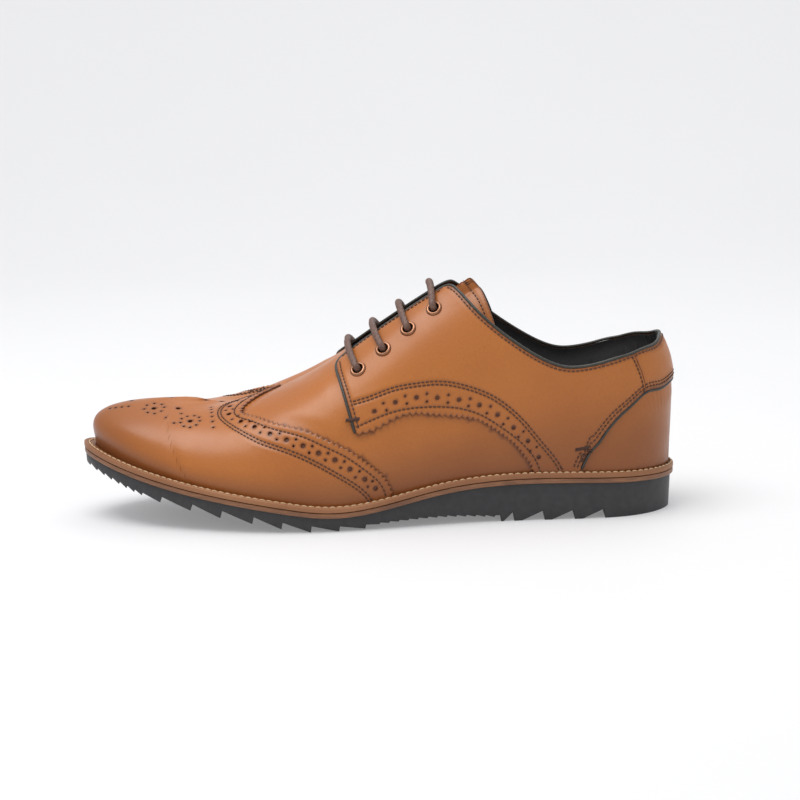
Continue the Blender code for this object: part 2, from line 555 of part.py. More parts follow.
def build_upper():
    tan = material("tan_leather", (0.38, 0.135, 0.038), 0.38)
    black = material("black_lining", (0.012, 0.012, 0.013), 0.7)
    stiff = material("stiffener", (0.55, 0.50, 0.42), 0.9)

    def side(sign, runs):
        return runs if sign < 0 else [mirrored(run) for run in reversed(runs)]

    leather("wing_cap", [CAP_BACK, toe_line(CAP_BACK[-1][0]), mirrored(CAP_BACK)], OVER, tan)
    vamp = [VAMP_BACK, foot_line(VAMP_BACK[-1][0], VAMP_FRONT[-1][0]), VAMP_FRONT[::-1]]
    leather("vamp", both(vamp), UNDER, tan)
    quarter = [
        FACING_FRONT, FACING_EDGE, FACING_TOP, TOPLINE[: TAB_SEAM_AT + 1], TAB_SEAM, COUNTER_SEAM,
        foot_line(COUNTER_SEAM[-1][0], QUARTER_FOOT[0][0]), QUARTER_FOOT,
    ]
    for name, sign in (("lateral", -1), ("medial", 1)):
        punched = [(x, t * sign) for x, t in EYELETS]
        leather(name + "_quarter", side(sign, quarter), OVER, tan, punched, 0.15)
        stay = [STAY_FRONT, FACING_EDGE, STAY_BACK]
        leather(name + "_facing_stay", side(sign, stay), STIFFENING, stiff, punched, 0.8)
    tab_top = [TAB_CORNER] + [(x, t - TAB_DROP) for x, t in TOPLINE[TAB_SEAM_AT + 1 :]]
    tab_seam = [TAB_SEAM[1], TAB_CORNER]
    tab_top += mirrored(tab_top)[1:]
    tab_foot = COUNTER_BACK + mirrored(COUNTER_BACK)[1:]
    tab = [tab_seam, tab_top, mirrored(tab_seam), tab_foot[::-1]]
    leather("back_tab", tab, OVER, tan, (), 0.5)
    foxing_top = FOXING_TOP + mirrored(FOXING_TOP)[1:]
    leather("heel_foxing", [foxing_top, heel_line(FOXING_TOP[0][0])], UNDER, tan)
    stiffener_top = STIFFENER_TOP + mirrored(STIFFENER_TOP)[1:]
    leather("heel_stiffener", [stiffener_top, heel_line(STIFFENER_TOP[0][0])], STIFFENING, stiff)
    puff_back = PUFF_BACK + mirrored(PUFF_BACK)[1:]
    leather("toe_puff", [puff_back, toe_line(PUFF_BACK[0][0])[::-1]], STIFFENING, stiff)

    back = VAMP_LINING_BACK + mirrored(VAMP_LINING_BACK)[1:]
    leather("vamp_lining", [back, toe_line(VAMP_LINING_BACK[0][0])[::-1]], LINING, black)
    runs = [QUARTER_LINING_FRONT, [QUARTER_LINING_FRONT[-1]] + FACING_EDGE[1:], FACING_TOP, TOPLINE]
    runs = both(runs) + [heel_line(QUARTER_LINING_FRONT[0][0])]
    all_holes = EYELETS + [(x, -t) for x, t in EYELETS]
    leather("quarter_lining", runs, LINING, black, all_holes, 0.3)

    runs = both([TONGUE_SIDE_EDGE, TONGUE_END]) + [TONGUE_FRONT]
    leather("tongue", runs, (tongue_lift, TONGUE_THICKNESS), tan)
    under = (lambda points: tongue_lift(points) - TONGUE_LINING_DROP, TONGUE_LINING_THICKNESS)
    leather("tongue_lining", runs, under, black, (), 1.0)


def tube(name, points, radius, material):
    """A round tube along points in millimetres."""
    line = bpy.data.curves.new(name, "CURVE")
    line.dimensions = "3D"
    line.bevel_depth = radius * MM
    line.bevel_resolution = 1
    line.use_fill_caps = True
    spline = line.splines.new("POLY")
    spline.points.add(len(points) - 1)
    for point, place in zip(spline.points, points):
        point.co = (*(np.asarray(place) * MM), 1)
    thing = bpy.data.objects.new(name, line)
    line.materials.append(material)
    SHOE.objects.link(thing)
    return thing


def beside(runs, lift, distance, step=PIPING_STEP):
    """A route over the last through runs of pattern points, moved to its left by a true distance."""
    route = np.vstack([along(flat(run), step)[:-1] for run in runs] + [flat([runs[-1][-1]])])
    places, higher = on_last(route, lift), on_last(route, lift + 5)
    way = np.gradient(places, axis=0)
    left = np.cross(higher - places, way)
    return along(places + left / np.linalg.norm(left, axis=1, keepdims=True) * distance, step)


def build_piping():
    black = material("black_piping", (0.02, 0.02, 0.022), 0.45)
    front = [FACING_FRONT, FACING_EDGE, FACING_TOP]
    collar = TOPLINE + mirrored(TOPLINE)[1:]
    runs = front + [collar] + [mirrored(run) for run in reversed(front)]
    edge = beside(runs, PIPING_LIFT, PIPING_OUT)
    tube("topline_piping", edge, PIPING_RADIUS, black)
    seam = COUNTER_SEAM[:-1][::-1] + COUNTER_BACK[1:]
    across = beside([seam + mirrored(seam)[1:]], COUNTER_PIPING_LIFT, -COUNTER_PIPING_OUT)
    tube("counter_piping", across, COUNTER_PIPING_RADIUS, black)


def frame_at(x, t, lift=0.0):
    """A matrix at a pattern point: its Z is the last's normal."""
    centre = flat([(x, t)])[0]
    place, higher = on_last([centre], 0.0)[0], on_last([centre], 10.0)[0]
    normal = Vector(higher - place).normalized()
    turn = Vector((0, 0, 1)).rotation_difference(normal).to_matrix().to_4x4()
    return Matrix.Translation(Vector((place + np.array(normal) * lift) * MM)) @ turn


def eyelet_mesh(material):
    """The turned section of an eyelet: a rolled flange outside, a barrel, and a flare inside."""
    outer, inner = OVER[0] + 0.35, LINING[0] - LINING[1] - 0.9
    section = [
        (EYELET_HOLE, inner), (EYELET_HOLE, outer + 0.3), (EYELET_HOLE + 0.4, outer + 0.85),
        (EYELET_FLANGE - 0.5, outer + 0.75), (EYELET_FLANGE, outer), (EYELET_BARREL, outer),
        (EYELET_BARREL, inner + 0.1), (EYELET_BARREL + 0.8, inner), (EYELET_BARREL + 0.6, inner - 0.4),
    ]
    mesh = bpy.data.meshes.new("eyelet")
    points = [(r * MM, 0, z * MM) for r, z in section]
    mesh.from_pydata(points, [(k, (k + 1) % len(points)) for k in range(len(points))], [])
    mesh.materials.append(material)
    return mesh


def build_lacing():
    brass = material("antique_brass", (0.35, 0.20, 0.09), 0.35, 1)
    cord = material("waxed_lace", (0.035, 0.018, 0.012), 0.6)
    mesh = eyelet_mesh(brass)
    for name, sign in (("lateral", -1), ("medial", 1)):
        for k, (x, t) in enumerate(EYELETS):
            eyelet = bpy.data.objects.new(f"{name}_eyelet_{k + 1}", mesh)
            SHOE.objects.link(eyelet)
            eyelet.matrix_world = frame_at(x, t * sign)
            turned = eyelet.modifiers.new("turned", "SCREW")
            turned.steps = turned.render_steps = 12
            turned.use_merge_vertices = True
            turned.merge_threshold = 0.0001
    route = lace_route()
    tip_points = round(AGLET_LENGTH / LACE_STEP)
    tube("lace", route[tip_points:-tip_points], LACE_RADIUS, cord)
    tip = material("lace_tip", (0.03, 0.02, 0.015), 0.3)
    for name, ends in (("first", route[: tip_points + 1]), ("last", route[::-1][: tip_points + 1])):
        way = (ends[-2] - ends[-1]) / np.linalg.norm(ends[-2] - ends[-1])
        tube(name + "_aglet", [*ends[:-1], ends[-1] + way * AGLET_GAP], AGLET_RADIUS, tip)


def lace_bar(row, sign):
    """Over the tongue from one eyelet to the one facing it, as (x, t, lift)."""
    x, t = EYELETS[row]
    return [(x - BAR_LEAN[row] * (1 - s * s), -sign * t * s, LACE_OUTSIDE) for s in np.linspace(-1, 1, 13)]


def inner_run(first, last, sign, bow=0.0):
    """Under a facing from one eyelet to another on the same side."""
    (x0, t0), (x1, t1) = EYELETS[first], EYELETS[last]
    share = np.linspace(0, 1, 3 * abs(last - first) + 1)
    return [
        (x0 + (x1 - x0) * s, sign * (t0 + (t1 - t0) * s + bow * sin(pi * s)), LACE_INSIDE) for s in share
    ]


def through(row, sign, inwards):
    """Down or up through an eyelet."""
    x, t = EYELETS[row]
    lifts = LACE_IN_HOLE if inwards else LACE_IN_HOLE[::-1]
    return [(x, t * sign, lift) for lift in lifts]


def lace_route():
    """One lace: a bar across each row outside, and runs under the facings from row to row."""
    stations = [(x, -t, LACE_INSIDE) for x, t in LACE_TAIL_FRONT + [EYELETS[2]]]
    stations += through(2, -1, False) + lace_bar(2, -1) + through(2, 1, True)
    stations += inner_run(2, 0, 1, LACE_BYPASS) + through(0, 1, False) + lace_bar(0, 1) + through(0, -1, True)
    stations += inner_run(0, 1, -1) + through(1, -1, False) + lace_bar(1, -1) + through(1, 1, True)
    stations += inner_run(1, 3, 1, -0.75 * LACE_BYPASS) + through(3, 1, False)
    stations += lace_bar(3, 1) + through(3, -1, True)
    stations += [(x, -t, LACE_INSIDE) for x, t in [EYELETS[3]] + LACE_TAIL_BACK]
    places = on_last(flat([(x, t) for x, t, _ in stations]), np.array([lift for _, _, lift in stations]))
    return along(places, LACE_STEP)


def build_bar_tacks():
    thread = material("dark_thread", (0.03, 0.015, 0.01), 0.6)
    for name, sign in (("lateral", -1), ("medial", 1)):
        for place, (start, end) in (
            ("facing", ((-13.4, -0.63), (-6.6, -0.65))), ("counter", ((97.0, -0.962), (105.8, -0.975))),
        ):
            run = [(x, -sign * t) for x, t in (start, end)]
            tube(f"{name}_{place}_bar_tack", on_last(flat(run), OVER[0] + TACK_LIFT), TACK_RADIUS, thread)


def material(name, colour, roughness, metallic=0.0):
    made = bpy.data.materials.get(name) or bpy.data.materials.new(name)
    made.use_nodes = True
    shader = made.node_tree.nodes["Principled BSDF"]
    shader.inputs["Base Color"].default_value = (*colour, 1)
    shader.inputs["Roughness"].default_value = roughness
    shader.inputs["Metallic"].default_value = metallic
    made.diffuse_color = (*colour, 1)
    return made


for thing in list(bpy.data.objects):
    bpy.data.objects.remove(thing)
SHOE = bpy.data.collections.new("derby_shoe")
CUTTERS = bpy.data.collections.new("cutters")
for group in (SHOE, CUTTERS):
    bpy.context.scene.collection.children.link(group)

build_sole()
build_upper()
build_piping()
build_lacing()
build_bar_tacks()
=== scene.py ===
from math import cos, pi, radians, sin

import bmesh
import bpy
import numpy as np
from mathutils import Matrix, Quaternion, Vector, kdtree
from mathutils.geometry import delaunay_2d_cdt


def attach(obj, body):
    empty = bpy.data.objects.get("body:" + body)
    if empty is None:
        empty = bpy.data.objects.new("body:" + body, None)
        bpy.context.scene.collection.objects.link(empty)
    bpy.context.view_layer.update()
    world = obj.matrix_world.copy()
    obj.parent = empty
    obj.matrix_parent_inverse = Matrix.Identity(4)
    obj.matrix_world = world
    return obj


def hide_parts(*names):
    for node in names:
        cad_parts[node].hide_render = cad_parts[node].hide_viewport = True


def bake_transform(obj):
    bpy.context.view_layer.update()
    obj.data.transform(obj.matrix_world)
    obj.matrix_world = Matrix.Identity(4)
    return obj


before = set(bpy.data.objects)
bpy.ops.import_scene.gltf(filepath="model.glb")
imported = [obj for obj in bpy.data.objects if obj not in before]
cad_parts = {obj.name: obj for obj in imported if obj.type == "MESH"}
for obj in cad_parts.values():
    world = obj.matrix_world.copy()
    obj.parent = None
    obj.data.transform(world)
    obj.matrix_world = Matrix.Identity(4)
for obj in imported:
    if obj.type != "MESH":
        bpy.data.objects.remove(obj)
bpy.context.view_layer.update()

MM = 0.001

# The camera
AIM = Vector((0.0116, 0, 0.0565))
DISTANCE, ELEVATION, ROLL, LENS = 1.4, radians(10.5), radians(-1.25), 123.5


def place_camera():
    data = bpy.data.cameras.new("camera")
    data.lens = LENS
    camera = bpy.data.objects.new("camera", data)
    bpy.context.scene.collection.objects.link(camera)
    back = Vector((0, -cos(ELEVATION), sin(ELEVATION)))
    camera.location = AIM + back * DISTANCE
    camera.rotation_mode = "QUATERNION"
    camera.rotation_quaternion = (-back).to_track_quat("-Z", "Y") @ Quaternion((0, 0, 1), ROLL)
    bpy.context.scene.camera = camera


place_camera()

# The last, as the CAD has it
FEATHER_OUTLINE = [  # (x, y) where the upper meets the welt, from the toe round the outer side
    (-143.5, 5), (-136, -11), (-119, -25.5), (-92, -38.5), (-60, -46.5), (-28, -47.5), (10, -42), (50, -35),
    (90, -33), (122, -30), (140.5, -18), (148, 0), (140.5, 18), (122, 29), (90, 30), (50, 29), (10, 33),
    (-28, 42.8), (-60, 47.9), (-92, 45), (-119, 35.5), (-136, 20),
]
FEATHER_HEIGHT = [  # (x, z) of the feather edge, which is the top of the welt
    (-150, 38.5), (-121, 29.8), (-84, 21.5), (-47, 15.2), (-25, 12.5), (-4, 14), (28, 20.5), (60, 24),
    (104, 24), (150, 22.3),
]
RIDGE_HEIGHT = [  # (x, z) of the top of the foot
    (-105, 64.9), (-92, 58.8), (-75, 55.5), (-55, 60.8), (-30, 72.6), (0, 93.6), (30, 114.5), (50, 126),
    (75, 135.4), (104, 142.6),
]
RIDGE_LINE = [(-70, 9.0), (-50, 11.8), (-20, 5.0), (10, 1.0), (40, 0)]  # (x, y) of it between its ends
RIDGE_ENDS = (-92.0, 104.0)
CROSS_SECTION = [  # (x, squareness, bulge over the feather edge)
    (-150, 3.85, 0.11), (-100, 1.85, 0.09), (-50, 1.85, 0.06), (0, 2.05, 0.05), (50, 2.1, 0.06),
    (100, 2.5, 0.08), (150, 2.9, 0.18),
]
HEEL_CURL = 5.0  # how far the top of the heel leans in, above CURL_FROM and behind CURL_START
CURL_FROM, CURL_HEIGHT, CURL_START, CURL_LENGTH = 66.0, 22.0, 112.0, 36.0
MARGIN = 1.035  # t at the lower edge of every piece of the upper
MARGIN_DROP = 60.0  # how fast the margin goes down with t
FURTHEST = 1.13  # the last t that the flat patterns know

# The sole, as the CAD has it
WELT_OVERHANG = [(-150, 7.5), (-100, 5.6), (-60, 5.3), (0, 5.2), (60, 3.6), (150, 2.7)]
WELT_THICKNESS, MIDSOLE_THICKNESS, LAYER_GAP = 2.6, 2.5, 0.3
TREAD_FRONT = [  # (x, z) of the tips of the forepart's teeth, whose steep faces look back
    (-147, 27.3), (-143, 25.6), (-139, 24), (-135, 22.4), (-131, 20.8), (-127, 19.2), (-123, 17.7),
    (-119, 16.4), (-109.5, 13.6), (-94, 10.4), (-79, 7.2), (-63, 4.6), (-48.5, 1.9), (-34, 0), (-20, 0),
    (-7, 0.8),
]
TOOTH_DEPTH = [(-150, 1.1), (-119, 1.4), (-109, 3.2), (-79, 4.0), (-34, 3.2), (-7, 2.0)]
TREAD_WAIST = [(0, 2.6), (12, 3.4), (28, 3.9), (44, 3.4), (58, 2.4)]
WAIST_TOOTH = 0.8
HEEL_BREAST = 61.0
HEEL_NOTCHES = [67.6, 82.9, 98.1, 113.5]
HEEL_NOTCH_DEPTH, HEEL_NOTCH_LENGTH = 5.0, 11.5
HEEL_BACK = [(147.5, 0), (150, 1.2), (155, 4.0)]

# The lacing, as the CAD has it
EYELETS = [(-7.0, 0.387), (4.8, 0.347), (16.5, 0.305), (28.8, 0.264)]
LACE_OUTSIDE, LACE_INSIDE = 3.6, -8.0
BAR_LEAN = [5.0, 4.3, 2.6, -0.6]
LACE_BYPASS = 0.1
LACE_IN_HOLE = [1.6, -1.6, -4.8]
LACE_TAIL_FRONT = [(-26, 0.66), (-17, 0.65), (-8, 0.61), (0, 0.55), (8, 0.47), (13, 0.38)]
LACE_TAIL_BACK = [(32, 0.35), (37, 0.45), (43, 0.54), (50, 0.62), (57, 0.68)]
TIP_LENGTH = 18.0


def smooth(knots, at):
    """A natural cubic through the knots (position, values...), read at the given positions."""
    knots = np.array(knots, float)
    where, values = knots[:, 0], knots[:, 1:]
    gap = np.diff(where)
    slope = np.diff(values, axis=0) / gap[:, None]
    system = np.eye(len(where))
    bend = np.zeros_like(values)
    for i in range(1, len(where) - 1):
        system[i, i - 1 : i + 2] = gap[i - 1], 2 * (gap[i - 1] + gap[i]), gap[i]
        bend[i] = 6 * (slope[i] - slope[i - 1])
    bend = np.linalg.solve(system, bend)
    at = np.asarray(at, float)
    i = np.clip(np.searchsorted(where, at, side="right") - 1, 0, len(where) - 2)
    after, before, span = (at - where[i])[..., None], (where[i + 1] - at)[..., None], gap[i][..., None]
    cubic = (bend[i] * before**3 + bend[i + 1] * after**3) / (6 * span)
    return (
        cubic
        + (values[i] / span - bend[i] * span / 6) * before
        + (values[i + 1] / span - bend[i + 1] * span / 6) * after
    )


def along(points, step):
    """Evenly spaced points on a smooth curve through the given ones."""
    points = np.array(points, float)
    if len(points) == 2:
        count = max(1, round(float(np.linalg.norm(points[1] - points[0])) / step))
        return points[0] + (points[1] - points[0]) * np.linspace(0, 1, count + 1)[:, None]
    chord = np.concatenate([[0], np.cumsum(np.linalg.norm(np.diff(points, axis=0), axis=1) ** 0.5)])
    fine = smooth(np.column_stack([chord, points]), np.linspace(0, chord[-1], 3000))
    return evenly(fine, step)


def evenly(route, step):
    """The same polyline with evenly spaced points."""
    length = np.concatenate([[0], np.cumsum(np.linalg.norm(np.diff(route, axis=0), axis=1))])
    count = max(2, round(length[-1] / step))
    at = np.linspace(0, length[-1], count + 1)
    return np.column_stack([np.interp(at, length, route[:, k]) for k in range(route.shape[1])])


def outline_halves():
    """The feather outline's outer and inner sides, each from the toe's tip to the heel's, and all of it."""
    wrap = 4
    ring = along(FEATHER_OUTLINE[-wrap:] + FEATHER_OUTLINE + FEATHER_OUTLINE[: wrap + 1], 0.25)
    from_start = np.linalg.norm(ring - FEATHER_OUTLINE[0], axis=1)
    half = len(ring) // 2
    loop = ring[from_start[:half].argmin() : half + from_start[half:].argmin()]
    loop = np.roll(loop, -loop[:, 0].argmin(), axis=0)
    heel = loop[:, 0].argmax()
    return loop[: heel + 1], np.vstack([loop[heel:], loop[:1]])[::-1], loop


OUTER, INNER, FEATHER_LOOP = outline_halves()
TOE, HEEL = OUTER[0], OUTER[-1]
RIDGE_MIDDLE, RIDGE_HALF = sum(RIDGE_ENDS) / 2, (RIDGE_ENDS[1] - RIDGE_ENDS[0]) / 2
OUTLINE_MIDDLE, OUTLINE_HALF = (TOE[0] + HEEL[0]) / 2, (HEEL[0] - TOE[0]) / 2


def feather_z(x):
    return smooth(FEATHER_HEIGHT, x)[..., 0]


def turn_at(x, share):
    """The angle round the last, 0 at the toe and pi at the heel, of a point at this x and share |t|."""
    middle = RIDGE_MIDDLE * (1 - share) + OUTLINE_MIDDLE * share
    reach = RIDGE_HALF * (1 - share) + OUTLINE_HALF * share
    return np.arccos(np.clip((middle - x) / reach, -1, 1))


def ends_at(turn, inner):
    """x and y of the feather edge and of the ridge at this angle."""
    foot_x = OUTLINE_MIDDLE - OUTLINE_HALF * np.cos(turn)
    foot_y = np.where(
        inner, np.interp(foot_x, INNER[:, 0], INNER[:, 1]), np.interp(foot_x, OUTER[:, 0], OUTER[:, 1])
    )
    top_x = RIDGE_MIDDLE - RIDGE_HALF * np.cos(turn)
    top_y = smooth([(RIDGE_ENDS[0], TOE[1]), *RIDGE_LINE, (RIDGE_ENDS[1], HEEL[1])], top_x)[..., 0]
    return foot_x, foot_y, top_x, top_y


def plan_width(turn, inner):
    foot_x, foot_y, top_x, top_y = ends_at(turn, inner)
    return np.abs(foot_y - top_y)


# The cross-section's two numbers every 2 mm, with the corners between the knots rounded off
SECTION_X = np.arange(-160.0, 161.0, 2.0)
SECTION_WINDOW = np.arange(-18.0, 19.0, 2.0)
SECTIONS = [
    np.mean([np.interp(SECTION_X + d, *np.array(CROSS_SECTION).T[[0, k]]) for d in SECTION_WINDOW], axis=0)
    for k in (1, 2)
]


def place(x, t):
    """The points of the last at these pattern points."""
    share = np.abs(t)
    foot_x, foot_y, top_x, top_y = ends_at(turn_at(x, share), t > 0)
    rise = np.clip(1 - share, 0, 1) * pi / 2
    squareness, bulge = np.interp(foot_x, SECTION_X, SECTIONS[0]), np.interp(foot_x, SECTION_X, SECTIONS[1])
    out = np.cos(rise) ** (2 / squareness) + bulge * np.sin(2 * rise) * np.clip(share, 0, 1)
    up = np.sin(rise) ** (2 / squareness)
    base, top = feather_z(foot_x), smooth(RIDGE_HEIGHT, top_x)[..., 0]
    drop = np.clip(share - 1, 0, 1) * MARGIN_DROP
    along_x, height = top_x + (foot_x - top_x) * out, base + (top - base) * up - drop
    curl = np.clip((height - CURL_FROM) / CURL_HEIGHT, 0, None) ** 2
    curl = curl * np.clip((along_x - CURL_START) / CURL_LENGTH, 0, 1) ** 2
    return np.stack([along_x - HEEL_CURL * curl, top_y + (foot_y - top_y) * out, height], -1)


def least_share(x):
    """Before the ridge's front end and behind its back end the centre line has a share of its own."""
    front = (RIDGE_ENDS[0] - x) / (RIDGE_ENDS[0] - TOE[0])
    back = (x - RIDGE_ENDS[1]) / (HEEL[0] - RIDGE_ENDS[1])
    return np.clip(np.maximum(front, back), 0, FURTHEST - 0.01)


ROWS = np.arange(-148.0, 153.0)
COLUMNS = np.linspace(0, 1, 401)


def girth_tables(sign):
    """For each x, the length over the last at each share, and the share at each length."""
    least = least_share(ROWS)[:, None]
    share = least + (FURTHEST - least) * COLUMNS**2
    places = place(np.broadcast_to(ROWS[:, None], share.shape), sign * share)
    steps = np.linalg.norm(np.diff(places, axis=1), axis=2)
    length = np.hstack([np.zeros((len(ROWS), 1)), np.cumsum(steps, axis=1)])
    part = [np.interp(COLUMNS * row[-1], row, COLUMNS**2) for row in length]
    return length, np.array(part)


GIRTH = {-1: girth_tables(-1), 1: girth_tables(1)}


def read_table(table, x, part):
    row = np.clip(x - ROWS[0], 0, len(ROWS) - 1.001)
    column = np.clip(part, 0, 1) * (len(COLUMNS) - 1.001)
    i, k = row.astype(int), column.astype(int)
    a, b = row - i, column - k
    return (table[i, k] * (1 - a) + table[i + 1, k] * a) * (1 - b) + (
        table[i, k + 1] * (1 - a) + table[i + 1, k + 1] * a
    ) * b


def flat(points):
    """Pattern points (x, t) as flat points (x, s)."""
    x, t = np.array(points, float).T
    least = least_share(x)
    part = np.sqrt(np.clip((np.abs(t) - least) / (FURTHEST - least), 0, 1))
    length = np.where(t > 0, read_table(GIRTH[1][0], x, part), read_table(GIRTH[-1][0], x, part))
    return np.column_stack([x, np.sign(t) * length])


def unflat(points):
    """Flat points as pattern coordinates x and t."""
    x, s = points[:, 0], points[:, 1]
    least = least_share(x)
    part = np.zeros(len(x))
    for sign in (-1, 1):
        side = s * sign > 0
        longest = np.interp(x[side], ROWS, GIRTH[sign][0][:, -1])
        part[side] = read_table(GIRTH[sign][1], x[side], np.abs(s[side]) / longest)
    return x, np.where(s > 0, 1, -1) * (least + part * (FURTHEST - least))


def surface(points):
    return place(*unflat(points))


def traced(run, step):
    """A smooth flat route through pattern points, with its curve drawn on the plan of the last as in the CAD."""
    x, t = np.array(run, float).T
    plan = along(np.column_stack([x, t * plan_width(turn_at(x, np.abs(t)), t > 0)]), 0.5)
    x, inner, across = plan[:, 0], plan[:, 1] > 0, np.abs(plan[:, 1]) + 1e-9
    low, high = np.zeros(len(x)), np.full(len(x), FURTHEST)
    for _ in range(30):
        share = (low + high) / 2
        short = share * plan_width(turn_at(x, share), inner) < across
        low, high = np.where(short, share, low), np.where(short, high, share)
    return evenly(flat(np.column_stack([x, np.where(inner, 1, -1) * (low + high) / 2])), step)


def slopes(points):
    """How the last's points change with x and with s."""
    step = 0.5
    by_x = (surface(points + (step, 0)) - surface(points - (step, 0))) / (2 * step)
    by_s = (surface(points + (0, step)) - surface(points - (0, step))) / (2 * step)
    return by_x, by_s


def unit(vectors):
    return vectors / np.maximum(np.linalg.norm(vectors, axis=-1, keepdims=True), 1e-9)


def on_last(points, lift=0.0):
    """Flat points laid over the last and lifted off it along its normal."""
    points = np.array(points, float)
    return surface(points) + unit(np.cross(*slopes(points))) * np.reshape(lift, (-1, 1))


def sideways(route, distance):
    """A flat route moved to its left by a true distance over the last."""
    by_x, by_s = slopes(route)
    way = np.gradient(route, axis=0)
    way = by_x * way[:, :1] + by_s * way[:, 1:]
    left = unit(np.cross(np.cross(by_x, by_s), way))
    xx, xs, ss = (by_x * by_x).sum(1), (by_x * by_s).sum(1), (by_s * by_s).sum(1)
    on_x, on_s = (by_x * left).sum(1), (by_s * left).sum(1)
    part = np.column_stack([on_x * ss - on_s * xs, on_s * xx - on_x * xs]) / (xx * ss - xs * xs)[:, None]
    return route + part * np.reshape(distance, (-1, 1))


def metric(point):
    """Two flat steps that are each a millimetre long on the last, at right angles to each other."""
    by_x, by_s = slopes(np.array([point], float))
    by_x, by_s = by_x[0], by_s[0]
    length = np.linalg.norm(by_x)
    skew = by_s @ by_x / length
    square = np.linalg.norm(by_s - by_x / length * skew)
    return np.array([1 / length, 0]), np.array([-skew / length / square, 1 / square])


# The pattern, outer side. A new run starts at each corner.
def back_centre(share):
    return (float(RIDGE_ENDS[1] * (1 - share) + HEEL[0] * share), -share)


CAP_BACK = [
    (-49.3, 0), (-57.8, -0.158), (-63.4, -0.362), (-56.2, -0.449), (-46.1, -0.534), (-31.6, -0.624), (-22.7, -0.695),
    (-13.5, -0.768), (-4.1, -0.856), (2.3, -0.921), (6.0, -0.986), (6.6, -MARGIN),
]
VAMP_FRONT = [
    (-57, 0), (-64.5, -0.16), (-71.9, -0.333), (-63.0, -0.489), (-50.7, -0.597), (-36.1, -0.688), (-26.9, -0.759),
    (-17.9, -0.836), (-9.0, -0.920), (-3.0, -0.984), (-2, -MARGIN),
]
VAMP_BACK = [
    (-14.5, 0), (-14.8, -0.214), (-13.8, -0.415), (-9.5, -0.563), (0.1, -0.634), (11.0, -0.650), (22.0, -0.665),
    (34, -0.69), (46, -0.74), (54, -0.78), (62, -0.82), (72, -0.885), (80, -0.95), (86, -MARGIN),
]
FACING_FRONT = [(-8.7, -0.705), (-12.2, -0.536), (-15.9, -0.358), (-17.6, -0.234), (-15.9, -0.173)]
FACING_EDGE = [(-15.9, -0.173), (-3.1, -0.139), (9.5, -0.129), (22.0, -0.123), (32.5, -0.122)]
FACING_TOP = [(32.5, -0.122), (36.5, -0.14), (39, -0.2)]
TOPLINE = [
    (39, -0.2), (44.1, -0.334), (53.6, -0.49), (70.9, -0.65), (85.3, -0.726), (94.4, -0.744), (104, -0.746),
    (112.3, -0.742), (118.5, -0.740), (127.7, -0.737), (133.6, -0.73), back_centre(0.722),
]
TAB_SEAM_AT = 8
TAB_SEAM = [(118.5, -0.740), (127.4, -0.854)]
COUNTER_SEAM = [
    (127.4, -0.854), (121.6, -0.876), (115.7, -0.901), (111, -0.929), (107.7, -0.953), (104.8, -0.966),
    (101, -0.997), (100, -MARGIN),
]
COUNTER_BACK = [(127.4, -0.854), (132.5, -0.855), (137.5, -0.853), back_centre(0.848)]
QUARTER_FOOT = [
    (77.8, -MARGIN), (77.5, -0.999), (75.1, -0.977), (68.6, -0.934), (60.3, -0.886), (52, -0.839), (44.6, -0.807),
    (33.8, -0.773), (22.9, -0.736), (12.2, -0.707), (2.8, -0.714), (-3.7, -0.716), (-8.7, -0.705),
]
FOXING_TOP = [
    (96, -MARGIN), (97.5, -0.99), (100.8, -0.955), (104.5, -0.925), (109, -0.893), (113.8, -0.865), (119.6, -0.837),
    (126.4, -0.816), (132.4, -0.813), back_centre(0.812),
]
TONGUE_SIDE_EDGE = [(-19, -0.28), (-6, -0.36), (6, -0.42), (20, -0.47), (34, -0.53), (46, -0.57), (57, -0.56)]
TONGUE_END = [(57, -0.56), (50.5, -0.3), (45.5, 0)]
LINING_FRONT = [(0.8, -MARGIN), (-2.2, -0.8), (-8.2, -0.5), (-12.2, -0.2)]

# Seams and punching, outer side
WING_INNER_SEAM = [  # the double row at the front of the wing's band
    (-57.5, 0), (-66.0, -0.09), (-72.6, -0.2), (-73.0, -0.369), (-66.2, -0.513), (-55.2, -0.630), (-46.1, -0.690),
    (-32.1, -0.774), (-19.0, -0.871), (-9.6, -0.946), (-5.7, -0.989), (-4.6, -1.01),
]
WING_PUNCHES = [
    (-54, 0), (-62.4, -0.13), (-69.2, -0.264), (-68.1, -0.380), (-61.6, -0.473), (-55.0, -0.533), (-47.8, -0.596),
    (-40.4, -0.648), (-33.1, -0.695), (-26.4, -0.745), (-19.2, -0.793), (-12.7, -0.849), (-6.2, -0.907),
    (-1.4, -0.954),
]
# The medallion: x, t, ring radius in mm, small holes in the ring. A flower off the middle line is on both sides.
MEDALLION_FLOWERS = [(-98, 0.27, 5.0, 8), (-84, 0.42, 5.0, 9)]
MEDALLION_RING = (-91, 0, 4.2, 8)  # on the middle line, with no big hole in it
MEDALLION_SINGLES = [(-107, 0), (-79, 0), (-89.5, 0.2)]
MEDALLION_ROWS = [((-108, 0.36), (-117, 0.5), 4), ((-77.5, 0.2), (-74, 0.5), 6)]  # from, to, small holes
BAND_TOP_SEAM = [
    (-9.5, -0.570), (-1.3, -0.583), (8.2, -0.591), (19.1, -0.617), (30.1, -0.649), (40.7, -0.695), (52.5, -0.756),
    (62.8, -0.822), (71.6, -0.885), (80, -0.943), (89.1, -0.992), (92.0, -1.01),
]
BAND_FOOT_SEAM = [
    (-8.8, -0.680), (1.7, -0.677), (12.2, -0.687), (26.7, -0.724), (37.4, -0.757), (48.4, -0.804),
    (60.3, -0.871), (71, -0.931), (79.8, -0.99), (81.5, -1.01),
]


def mirrored(run):
    """The same run on the inner side, walked the other way."""
    return [(x, -t) for x, t in reversed(run)]


